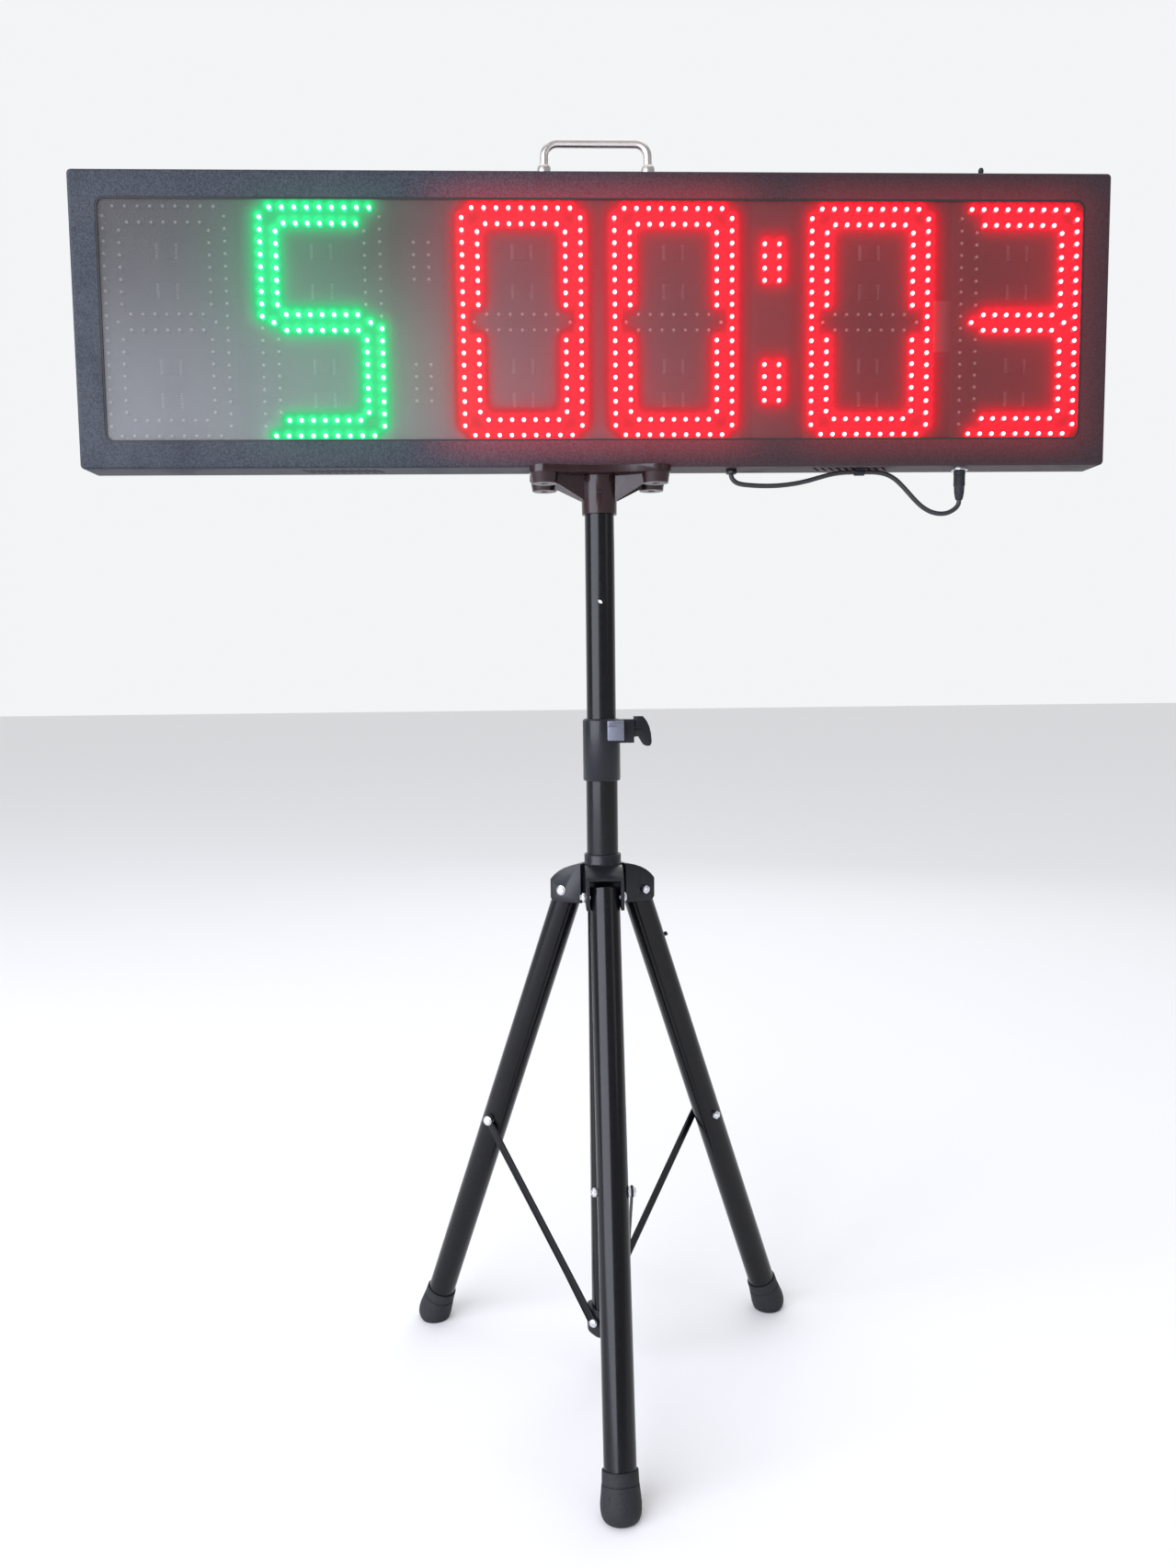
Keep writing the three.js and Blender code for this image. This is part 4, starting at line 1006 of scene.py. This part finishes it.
@dataclass
class Lights(Assembly):
    """LED boards, their domes and the smoked sheet that scatters their light."""

    dome: float = 2.5 * MM
    dome_height: float = 8.6 * MM
    shown: Tuple[Tuple[Lamp, str], ...] = (
        (Lamp.OFF, ""), (Lamp.GREEN, "AFGCD"), (Lamp.RED, "ABCDEF"), (Lamp.RED, "ABCDEF"),
        (Lamp.RED, "ABCDEF"), (Lamp.RED, "ABGCD"))
    colons: Tuple[Lamp, ...] = (Lamp.OFF, Lamp.RED)
    grid: Tuple[int, int] = (336, 84)
    shine: List[Tuple[float, float, Lamp]] = field(default_factory=list)

    def build(self) -> None:
        """Builds the boards, then the sheet in front of them."""
        low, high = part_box("front_bezel")
        self.middle = (low.z + high.z) / 2
        for number, (lamp, lit) in enumerate(self.shown, start=1):
            self.digit(number, lamp, lit)
        for number, lamp in enumerate(self.colons, start=1):
            self.colon(number, lamp)
        self.sheet()

    @staticmethod
    def segments() -> Dict[str, List[Tuple[float, float]]]:
        """Dots of each digit segment about the digit's centre, in metres."""
        outer = [(i - 4) * 14.1 for i in range(9)]
        inner = [(i - 3) * 13.6 for i in range(7)]
        bar = [(i - 3) * 13.55 for i in range(7)]
        long_side = [116.2 - 13.67 * i for i in range(9)]
        short_side = [100.6 - 13.5 * i for i in range(7)]
        top = [(x, 127.0) for x in outer] + [(x, 109.5) for x in inner]
        side = [(68.0, z) for z in long_side] + [(50.3, z) for z in short_side]
        dots = {
            "A": top,
            "B": side,
            "C": [(x, -z) for x, z in side],
            "D": [(x, -z) for x, z in top],
            "E": [(-x, -z) for x, z in side],
            "F": [(-x, z) for x, z in side],
            "G": [(x, z) for z in (8.7, -8.7) for x in bar] + [(-55.0, 0.0), (55.0, 0.0)],
        }
        return {key: [(x * MM, z * MM) for x, z in spots] for key, spots in dots.items()}

    def domes(self, name: str, spots: Sequence[Tuple[float, float]], y: float,
              lamp: Lamp) -> None:
        """Places one dome at each spot of a board.

        Args:
            name: the new piece's name.
            spots: x and z of each dome.
            y: the board's front.
            lamp: what they show.
        """
        if not spots:
            return
        r, h = self.dome, self.dome_height
        master = Bench.lathe("dome_master", [
            (0.0, -0.2 * MM), (r, -0.2 * MM), (r, h - r), (0.87 * r, h - 0.5 * r),
            (0.5 * r, h - 0.13 * r), (0.0, h)], along((0, 0, 0), (0, -1, 0)), steps=8)
        obj = Bench.repeat(name, master, [(x, y, z) for x, z in spots])
        self.fit(obj, "display", lamp.value, "board", smooth=60)
        if lamp is not Lamp.OFF:
            self.shine.extend((x, z, lamp) for x, z in spots)

    def plate(self, node: str, name: str) -> Tuple[Vector, Vector]:
        """A board with small rounded corners in place of its frame node."""
        low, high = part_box(node)
        centre = (low + high) / 2
        thickness = 1.6 * MM
        outline = rounded(high.x - low.x, high.z - low.z, 2.5 * MM, (centre.x, centre.z), 4)
        back = low.y + thickness
        obj = Bench.slab(name, outline, thickness, face_place(back))
        header = Bench.box("header", (centre.x - 0.019, back - 0.1 * MM, centre.z - 4 * MM),
                           (centre.x + 0.019, high.y, centre.z + 4 * MM))
        Bench.soften(header, 0.4 * MM, 1)
        obj = Bench.join(name, [obj, header])
        self.fit(obj, "display", "board", "board", node)
        return low, high

    def digit(self, number: int, lamp: Lamp, lit: str) -> None:
        """One digit board with its domes and driver chips."""
        low, high = self.plate(f"digit_board_{number}", f"digit_plate_{number}")
        centre = (low.x + high.x) / 2
        shown, dark = [], []
        for key, spots in self.segments().items():
            (shown if key in lit else dark).extend(
                (centre + x, self.middle + z) for x, z in spots)
        self.domes(f"digit_{number}_lit", shown, low.y, lamp)
        self.domes(f"digit_{number}_dark", dark, low.y, Lamp.OFF)
        self.chips(number, centre, low.y)

    def chips(self, number: int, x: float, y: float) -> None:
        """Four driver chips with two rows of soldered legs each."""
        bodies, legs = [], []
        for z in (0.080, 0.036, -0.048, -0.086):
            body = Bench.box("chip", (x - 9 * MM, y - 2.6 * MM, self.middle + z - 9 * MM),
                             (x + 9 * MM, y + 0.1 * MM, self.middle + z + 9 * MM))
            bodies.append(Bench.soften(body, 0.5 * MM, 2))
            for side in (-1, 1):
                for i in range(7):
                    at = self.middle + z + (i - 3) * 2.5 * MM
                    inner, outer = x + side * 8.6 * MM, x + side * 12.5 * MM
                    legs.append(Bench.box(
                        "leg", (min(inner, outer), y - 1.0 * MM, at - 0.4 * MM),
                        (max(inner, outer), y + 0.1 * MM, at + 0.4 * MM)))
        self.fit(Bench.join(f"chips_{number}", bodies), "display", "chip", "black_plastic")
        self.fit(Bench.join(f"chip_legs_{number}", legs), "display", "solder", "zinc")

    def colon(self, number: int, lamp: Lamp) -> None:
        """A colon board with two blocks of eight domes."""
        low, high = self.plate(f"colon_board_{number}", f"colon_plate_{number}")
        centre = (low.x + high.x) / 2
        rows = [0.127 - d * MM for d in (38.8, 52.4, 66.0, 79.6)]
        spots = [(centre + side * 8.5 * MM, self.middle + sign * z)
                 for sign in (1, -1) for z in rows for side in (-1, 1)]
        self.domes(f"colon_{number}_dots", spots, low.y, lamp)

    def sheet(self) -> None:
        """The smoked sheet, with a painted glow of the light it scatters stored at its points."""
        low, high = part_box("window_filter")
        centre = (low + high) / 2
        Bench.clear()
        bpy.ops.mesh.primitive_grid_add(
            x_subdivisions=self.grid[0], y_subdivisions=self.grid[1], size=1,
            location=(centre.x, low.y, centre.z), rotation=(math.pi / 2, 0, 0))
        obj = Bench.title("window_sheet")
        obj.scale = (high.x - low.x, high.z - low.z, 1)
        Bench.settle(obj)
        Bench.apply(obj, "SOLIDIFY", thickness=high.y - low.y, offset=-1.0)
        corners = np.empty(len(obj.data.vertices) * 3, np.float32)
        obj.data.vertices.foreach_get("co", corners)
        corners = corners.reshape(-1, 3)
        # Painted glow of the lit LEDs on the sheet, falling off round each dome.
        light = np.zeros((len(corners), 4), np.float32)
        light[:, 3] = 1.0
        tones = {Lamp.GREEN: Palette.GREEN, Lamp.RED: Palette.RED}
        for x, z, lamp in self.shine:
            away = (corners[:, 0] - x) ** 2 + (corners[:, 2] - z) ** 2
            near = away < 0.2 ** 2
            d = away[near]
            fall = (1.3 * np.exp(-d / 0.0045 ** 2) + 0.62 * np.exp(-d / 0.011 ** 2)
                    + 0.024 * np.exp(-d / 0.026 ** 2) + 0.009 * np.exp(-d / 0.075 ** 2))
            light[near, :3] += fall[:, None] * np.array(tones[lamp], np.float32)
        layer = obj.data.color_attributes.new("painted_glow", "FLOAT_COLOR", "POINT")
        layer.data.foreach_set("color", light.ravel())
        self.fit(obj, "display", "smoke", "filter", "window_filter", smooth=40)


@dataclass
class Trim(Assembly):
    """Handle, receiver stub, rear switch, inner parts and the short lead."""

    rod: float = 5 * MM
    lead: float = 5.5 * MM
    plug_radius: float = 6.8 * MM
    route: Tuple[Tuple[float, float], ...] = (
        (157, -5.4), (157, -7), (158, -10), (160.4, -13), (164.2, -15.5), (169.5, -17),
        (180, -18.2), (196, -19), (214, -18.6), (232, -16.6), (248, -13.4), (262, -9.6),
        (276, -6), (290, -3.9), (304, -3.4), (318, -3.4), (331, -3.8), (343, -6.3),
        (353, -11.6), (361, -18.6), (369, -27), (378, -36.6), (387, -44.6), (397, -50.2),
        (407.5, -52.6), (417.5, -51.6), (425.3, -47.6), (429.4, -43.4), (430.9, -39.6),
        (431, -37))

    def build(self) -> None:
        """Builds the case's fittings."""
        low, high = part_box("front_bezel")
        self.bottom, self.top = low.z, high.z
        self.y = (low.y + high.y) / 2
        self.rear = high.y
        self.cord()
        self.handle()
        self.antenna()
        self.switch()
        self.inside()

    def smooth_route(self) -> List[Vector]:
        """The lead's centre line as close points on a centripetal curve."""
        points = [Vector((x * MM, self.y, self.bottom + z * MM)) for x, z in self.route]
        first, last = 2 * points[0] - points[1], 2 * points[-1] - points[-2]
        knots = [first, *points, last]
        line: List[Vector] = []
        for a, b, c, d in zip(knots, knots[1:], knots[2:], knots[3:]):
            t1 = math.sqrt((b - a).length)
            t2 = t1 + math.sqrt((c - b).length)
            t3 = t2 + math.sqrt((d - c).length)
            for i in range(5):
                t = t1 + (t2 - t1) * i / 5
                p = a.lerp(b, t / t1)
                q = b.lerp(c, (t - t1) / (t2 - t1))
                r = c.lerp(d, (t - t2) / (t3 - t2))
                s = p.lerp(q, t / t2)
                e = q.lerp(r, (t - t1) / (t3 - t1))
                line.append(s.lerp(e, (t - t1) / (t2 - t1)))
        return [*line, points[-1]]

    def cord(self) -> None:
        """The lead from its gland to its plug, with the gland, plug, socket and clip."""
        line = self.smooth_route()
        obj = Bench.line("lead_sheath", line, self.lead / 2, 5)
        obj.data.splines[0].use_smooth = True
        self.fit(obj, "display", "cable", "black_rubber", "bridge_lead")
        plug = self.plug()
        low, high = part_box("lead_gland")
        x = (low.x + high.x) / 2
        nut = Bench.rod("nut", (x, self.y, low.z), (x, self.y, self.bottom), 7 * MM, sides=6)
        Bench.soften(nut, 0.6 * MM, 2)
        throat = Bench.lathe("throat", [
            (self.lead / 2, -0.4 * MM), (4.6 * MM, -0.4 * MM), (5.2 * MM, 0.6 * MM),
            (5.2 * MM, 14 * MM), (0.0, 14 * MM), (0.0, 2 * MM), (self.lead / 2, 2 * MM),
            (self.lead / 2, -0.4 * MM)], Matrix.Translation((x, self.y, low.z)), 32)
        self.fit(Bench.join("lead_gland_nut", [nut, throat]), "display", "plastic",
                 "black_plastic", "lead_gland")
        self.mould("lead_clip_strap", "lead_clip", "display", round_by=0.35 * MM, angle=35,
                   smooth=32)

    def plug(self) -> bpy.types.Object:
        """The lead's moulded plug and the socket it sits in."""
        low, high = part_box("lead_plug")
        x, r, length = (low.x + high.x) / 2, self.plug_radius, high.z - low.z
        profile = [(0.0, length), (r - 0.5 * MM, length), (r, length - 0.5 * MM)]
        for i in range(5):
            z = length - (5 + 2.6 * i) * MM
            profile += [(r, z), (r - 0.5 * MM, z - 0.5 * MM), (r - 0.5 * MM, z - 1.1 * MM),
                        (r, z - 1.6 * MM)]
        profile += [(r, 0.52 * length), (0.9 * r, 0.48 * length), (0.84 * r, 0.24 * length),
                    (0.66 * r, 0.05 * length), (0.56 * r, 0.0), (0.0, 0.0)]
        obj = Bench.lathe("lead_plug_body", profile, Matrix.Translation((x, self.y, low.z)), 40)
        self.fit(obj, "display", "rubber", "black_rubber", "lead_plug")
        rim_low, rim_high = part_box("lead_socket")
        rim = (rim_high.x - rim_low.x) / 2
        flange = Bench.lathe("socket_flange", [
            (0.0, 0.0), (rim - 0.4 * MM, 0.0), (rim, 0.4 * MM), (rim, self.bottom - rim_low.z),
            (rim - 2 * MM, self.bottom - rim_low.z), (rim - 2 * MM, rim_high.z - rim_low.z),
            (0.0, rim_high.z - rim_low.z)], Matrix.Translation((x, self.y, rim_low.z)), 40)
        self.fit(flange, "display", "zinc", "zinc", "lead_socket")
        return obj

    def handle(self) -> None:
        """The bent carrying bar and the two ferrules at its feet."""
        low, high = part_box("carry_handle")
        half = (high.x - low.x) / 2 - self.rod
        top, bend = high.z - self.rod, 15 * MM
        line = [Vector((-half, self.y, low.z))]
        for side in (-1, 1):
            corner = Vector((side * (half - bend), self.y, top - bend))
            turns = [math.pi - i * math.pi / 24 for i in range(13)] if side < 0 else [
                math.pi / 2 - i * math.pi / 24 for i in range(13)]
            line += [corner + bend * Vector((math.cos(t), 0, math.sin(t))) for t in turns]
        line.append(Vector((half, self.y, low.z)))
        bar = Bench.sweep("handle_bar", line, self.rod, 10)
        self.fit(bar, "display", "nickel", "satin_nickel", "carry_handle")
        for side in ("left", "right"):
            node = f"handle_ferrule_{side}"
            f_low, f_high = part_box(node)
            r, tall = (f_high.x - f_low.x) / 2, f_high.z - f_low.z
            bore = self.rod + 0.25 * MM
            ferrule = Bench.lathe(f"handle_foot_{side}", [
                (bore, 0.0), (r - 0.4 * MM, 0.0), (r, 0.4 * MM), (r, 3.0 * MM),
                (r - 0.7 * MM, 3.8 * MM), (r - 0.7 * MM, tall - 4.5 * MM),
                (r - 1.4 * MM, tall - 2.0 * MM), (bore + 1.0 * MM, tall - 0.3 * MM),
                (bore + 0.4 * MM, tall), (bore, tall), (bore, 0.0)],
                Matrix.Translation(((f_low.x + f_high.x) / 2, self.y, f_low.z)), 48)
            self.fit(ferrule, "display", "nickel", "satin_nickel", node)

    def antenna(self) -> None:
        """The short ribbed receiver stub on the case's top."""
        low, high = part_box("receiver_antenna")
        r, tall = (high.x - low.x) / 2, high.z - low.z
        profile = [(0.0, 0.0), (r, 0.0), (r, 2 * MM)]
        for i in range(3):
            z = (3 + 2.4 * i) * MM
            profile += [(r - 0.4 * MM, z), (r - 0.4 * MM, z + 0.8 * MM), (r, z + 1.2 * MM)]
        profile += [(r, tall - 2.6 * MM), (0.8 * r, tall - 0.9 * MM), (0.45 * r, tall - 0.1 * MM),
                    (0.0, tall)]
        stub = Bench.lathe("receiver_stub", profile,
                           Matrix.Translation(((low.x + high.x) / 2, self.y, low.z)), 32)
        self.fit(stub, "display", "rubber", "black_rubber", "receiver_antenna")

    def switch(self) -> None:
        """The rear rocker switch."""
        self.mould("switch_frame", "switch_body", "display", angle=35, smooth=32)
        self.mould("rocker_cap", "switch_rocker", "rocker", round_by=0.7 * MM, steps=3, angle=8,
                   smooth=32)

    def inside(self) -> None:
        """Finishes of the parts behind the boards."""
        self.keep("control_board", "board")
        self.keep("power_supply", "supply")
        self.keep("sounder", "plastic")


@dataclass
class Stand(Assembly):
    """Bracket, pole, mast, hubs, legs, braces and their fasteners."""

    lean: float = 20.0
    azimuths: Dict[str, float] = field(
        default_factory=lambda: {"left": 150.0, "right": 30.0, "front": -90.0})
    pivot_reach: float = 46 * MM
    leg_length: float = 652 * MM
    leg_radius: float = 17.5 * MM
    leg_head: float = 9 * MM
    bolt_along: float = 330 * MM
    blunt: float = 0.68
    brace_length: float = 279 * MM
    brace_reach: float = 8 * MM
    thick_wall: float = 1.5 * MM
    mast_wall: float = 1.2 * MM
    pin_first: float = 143 * MM
    pin_pitch: float = 150 * MM
    pin_radius: float = 3.3 * MM
    pins: int = 5
    floor_gap: float = 0.1 * MM

    def build(self) -> None:
        """Builds the stand from the top down."""
        low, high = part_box("mast_tube")
        self.axis = ((low.x + high.x) / 2, (low.y + high.y) / 2)
        lean = math.radians(self.lean)
        self.pivot_height = self.leg_length * math.cos(lean)
        self.bracket()
        self.pole()
        self.mast()
        self.hubs()
        for side, azimuth in self.azimuths.items():
            self.leg(side, math.radians(azimuth), lean)

    def tube(self, name: str, radius: float, wall: float, bottom: float, top: float,
             place: Matrix) -> bpy.types.Object:
        """An open tube with rounded rims."""
        lip = 0.35 * MM
        return Bench.lathe(name, [
            (radius - wall, bottom), (radius - lip, bottom), (radius, bottom + lip),
            (radius, top - lip), (radius - lip, top), (radius - wall, top),
            (radius - wall, bottom)], place, 64)

    def bracket(self) -> None:
        """The moulded bracket under the case and its screws."""
        self.mould("bracket_moulding", "pole_bracket", "display", "bracket", round_by=0.8 * MM,
                   steps=3)
        for i in range(1, 5):
            low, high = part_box(f"bracket_screw_{i}")
            centre = (low + high) / 2
            r = (high.x - low.x) / 2
            head = Bench.lathe(f"bracket_bolt_{i}", [
                (0.0, 1.6 * MM), (0.5 * r, 1.6 * MM), (0.56 * r, 0.5 * MM), (0.8 * r, 0.2 * MM),
                (r, 2.0 * MM), (r, 4.6 * MM), (0.5 * r, 4.9 * MM), (0.5 * r, high.z - low.z),
                (0.0, high.z - low.z)], Matrix.Translation((centre.x, centre.y, low.z)), 24)
            self.fit(head, "display", "zinc", "zinc", f"bracket_screw_{i}")
        low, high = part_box("bracket_grub_screw")
        centre = (low + high) / 2
        r = (high.x - low.x) / 2
        grub = Bench.rod("grub_bolt", (centre.x, low.y, centre.z), (centre.x, high.y, centre.z),
                         r, sides=24)
        Bench.cut(grub, Bench.rod("key_tool", (centre.x, low.y - 1 * MM, centre.z),
                                  (centre.x, low.y + 2 * MM, centre.z), 0.55 * r, sides=6))
        self.fit(Bench.soften(grub, 0.25 * MM, 2), "display", "plastic", "zinc",
                 "bracket_grub_screw")

    def pole(self) -> None:
        """The upper pole with its row of pin holes, and its bush."""
        low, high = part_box("upper_pole")
        r = (high.x - low.x) / 2
        place = Matrix.Translation((*self.axis, low.z))
        pole = self.tube("pole_tube", r, self.thick_wall, 0.0, high.z - low.z, place)
        x, y = self.axis
        for i in range(self.pins):
            z = high.z - self.pin_first - self.pin_pitch * i
            Bench.cut(pole, Bench.rod("pin_tool", (x, y - 2 * r, z), (x, y + 2 * r, z),
                                      self.pin_radius, sides=24))
        self.fit(pole, "pole", "tube", "black_tube", "upper_pole")
        self.mould("pole_foot_bush", "pole_bush", "pole", round_by=0.4 * MM, angle=35, smooth=32)

    def mast(self) -> None:
        """The mast tube with its clamp collar and wing knob."""
        low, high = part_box("mast_tube")
        place = Matrix.Translation((*self.axis, 0))
        mast = self.tube("mast_body", (high.x - low.x) / 2, self.mast_wall, low.z, high.z,
                         place)
        self.fit(mast, "mast", "tube", "black_tube", "mast_tube")
        self.mould("collar_moulding", "clamp_collar", "mast", round_by=0.9 * MM, steps=3)
        self.clamp_plate()
        self.mould("collar_wing", "clamp_knob", "clamp_knob", round_by=1.1 * MM, steps=3)

    def clamp_plate(self) -> None:
        """The clamp's steel cheek at the front of the collar, with its toothed seam."""
        low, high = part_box("clamp_collar")
        x, y, top = self.axis[0] + 6 * MM, low.y - 0.5 * MM, high.z - 2 * MM
        wide, tall, deep = 20 * MM, 24 * MM, 11 * MM
        plate = Bench.box("plate", (x, y, top - tall), (x + wide, y + deep, top))
        Bench.soften(plate, 0.9 * MM, 3)
        tools = [Bench.box("seam_tool", (x - MM, y - MM, top - 7.4 * MM),
                           (x + wide + MM, y + 0.7 * MM, top - 6.8 * MM))]
        for i in range(6):
            tooth = x + (2.6 + 3.0 * i) * MM
            tools.append(Bench.box("tooth_tool", (tooth, y - MM, top - 6.9 * MM),
                                   (tooth + 1.2 * MM, y + 0.7 * MM, top - 5.4 * MM)))
        Bench.cut(plate, *tools)
        plate.name = plate.data.name = "clamp_cheek"
        self.fit(plate, "mast", "steel", "zinc")

    def hubs(self) -> None:
        """The leg hub with its lock knob, and the hub that the braces meet."""
        self.mould("hub_moulding", "leg_hub", "leg_hub", round_by=0.8 * MM, steps=3)
        self.mould("hub_wing", "hub_lock_knob", "hub_lock_knob", round_by=1.1 * MM, steps=3)
        self.mould("brace_hub", "lower_hub", "mast", round_by=1.0 * MM, steps=3)

    def bolt(self, name: str, place: Matrix, head_from: float, nut_from: float,
             spacer: Optional[Tuple[float, float]] = None) -> bpy.types.Object:
        """A cross bolt along local Z: domed head with a washer, shank and nut.

        Args:
            name: the new object's name.
            place: local Z along the bolt, towards its head.
            head_from: where the head sits.
            nut_from: where the nut sits on the other side, as a positive distance.
            spacer: start and end of a spacer, if it has one.

        Returns:
            The new object.
        """
        r, dome = 6 * MM, 2.4 * MM
        head = [(0.0, head_from), (r, head_from), (r, head_from + 0.8 * MM),
                (0.92 * r, head_from + 1.0 * MM)]
        for i in range(1, 6):
            turn = math.pi / 2 * i / 6
            head.append((0.92 * r * math.cos(turn), head_from + 1.0 * MM + dome * math.sin(turn)))
        head.append((0.0, head_from + 1.0 * MM + dome))
        parts = [Bench.lathe("head", head, place, 32)]
        shank = Bench.lathe("shank", [
            (0.0, -nut_from - 7 * MM), (2.4 * MM, -nut_from - 7 * MM),
            (3.0 * MM, -nut_from - 6.4 * MM), (3.0 * MM, head_from + 0.5 * MM),
            (0.0, head_from + 0.5 * MM)], place, 24)
        parts.append(shank)
        nut = Bench.rod("nut", (0, 0, -nut_from - 4.6 * MM), (0, 0, -nut_from), 5.4 * MM, sides=6)
        Bench.soften(nut, 0.6 * MM, 2)
        nut.matrix_world = place
        parts.append(Bench.settle(nut))
        if spacer:
            parts.append(Bench.lathe("spacer", [
                (2.9 * MM, spacer[0]), (6 * MM, spacer[0]), (6 * MM, spacer[1]),
                (2.9 * MM, spacer[1]), (2.9 * MM, spacer[0])], place, 32))
        return Bench.join(name, parts)

    def leg(self, side: str, azimuth: float, lean: float) -> None:
        """One leg with its foot, bolts, brace and rivet.

        Args:
            side: left, right or front.
            azimuth: its direction about the mast, in radians.
            lean: its angle from the upright, in radians.
        """
        out = Vector((math.cos(azimuth), math.sin(azimuth), 0))
        across = Vector((-math.sin(azimuth), math.cos(azimuth), 0))
        root = Vector((*self.axis, 0))
        pivot = root + out * self.pivot_reach + UP * self.pivot_height
        up_leg = UP * math.cos(lean) - out * math.sin(lean)
        place = along(pivot, up_leg)
        body = f"leg_{side}"
        end = -(self.leg_length - 13 * MM)
        tube = self.tube(f"leg_tube_{side}", self.leg_radius, self.thick_wall, end,
                         self.leg_head, place)
        self.fit(tube, body, "tube", "black_tube", f"leg_{side}")
        self.foot(side, place, end)
        pivot_bolt = self.bolt(f"pivot_bolt_{side}", along(pivot, across), 22.6 * MM, 22.6 * MM)
        self.fit(pivot_bolt, "leg_hub", "zinc", "zinc", f"leg_bolt_{side}")
        joint = pivot - up_leg * self.bolt_along
        brace_bolt = self.bolt(f"strut_bolt_{side}", along(joint, across), 22.8 * MM, 17.8 * MM,
                               (17.8 * MM, 19.7 * MM))
        self.fit(brace_bolt, body, "zinc", "zinc", f"brace_bolt_{side}")
        brace = f"brace_{side}"
        self.mould(f"strut_{side}", brace, brace, "tube", "black_tube", smooth=32)
        reach = (joint - root).dot(out) - self.brace_reach
        drop = math.sqrt(self.brace_length ** 2 - reach ** 2)
        eye = root + out * self.brace_reach + UP * (joint.z - drop)
        rivet = Bench.lathe(f"strut_rivet_{side}", [
            (0.0, 20.2 * MM), (2.9 * MM, 20.2 * MM), (2.9 * MM, 22.8 * MM), (5.5 * MM, 22.8 * MM),
            (5.4 * MM, 23.5 * MM), (4.6 * MM, 24.5 * MM), (3.0 * MM, 25.2 * MM),
            (0.0, 25.4 * MM)], along(eye, across), 32)
        self.fit(rivet, brace, "zinc", "zinc", f"brace_rivet_{side}")
        if side == "right":
            self.mould("stud_cap", "strap_stud", body, round_by=0.4 * MM, smooth=32)

    def foot(self, side: str, place: Matrix, end: float) -> None:
        """A domed rubber foot with a stepped cuff, cut flat at the floor."""
        radius, centre = 22 * MM, -(self.leg_length - 16 * MM)
        cuff, top, bore = 19.4 * MM, centre + 31 * MM, self.leg_radius + 0.2 * MM
        profile = [(0.0, end - 0.3 * MM), (bore, end - 0.3 * MM), (bore, top),
                   (cuff - 0.6 * MM, top), (cuff, top - 0.6 * MM),
                   (cuff + 0.4 * MM, top - 12.0 * MM), (cuff - 0.2 * MM, top - 12.5 * MM),
                   (cuff - 0.2 * MM, top - 13.4 * MM), (cuff + 0.7 * MM, top - 13.9 * MM)]
        for i in range(11):
            dip = math.pi / 2 * i / 10
            profile.append((radius * math.cos(dip) ** self.blunt,
                            centre - radius * math.sin(dip) ** self.blunt))
        profile.append((0.0, end - 0.3 * MM))
        obj = Bench.lathe(f"foot_cap_{side}", profile, place, 48)
        Bench.edit(obj)
        bpy.ops.mesh.bisect(plane_co=(0, 0, self.floor_gap), plane_no=(0, 0, 1),
                            clear_inner=True, use_fill=True)
        Bench.close()
        self.fit(obj, f"leg_{side}", "rubber", "black_rubber", f"foot_{side}")


# ---------------------------------------------------------------------------- build


def main() -> None:
    """Builds every sub-assembly in order and reports its pieces."""
    logging.basicConfig(level=logging.INFO, format="%(name)s %(message)s")
    Studio().build()
    palette = Palette()
    for kind in (Trim, Case, Lights, Stand):
        assembly = kind(palette)
        assembly.build()
        for piece in assembly.made:
            LOG.info("%s: %s", kind.__name__, piece.name)
    Bench.clear()


if __name__ == "__main__":
    main()
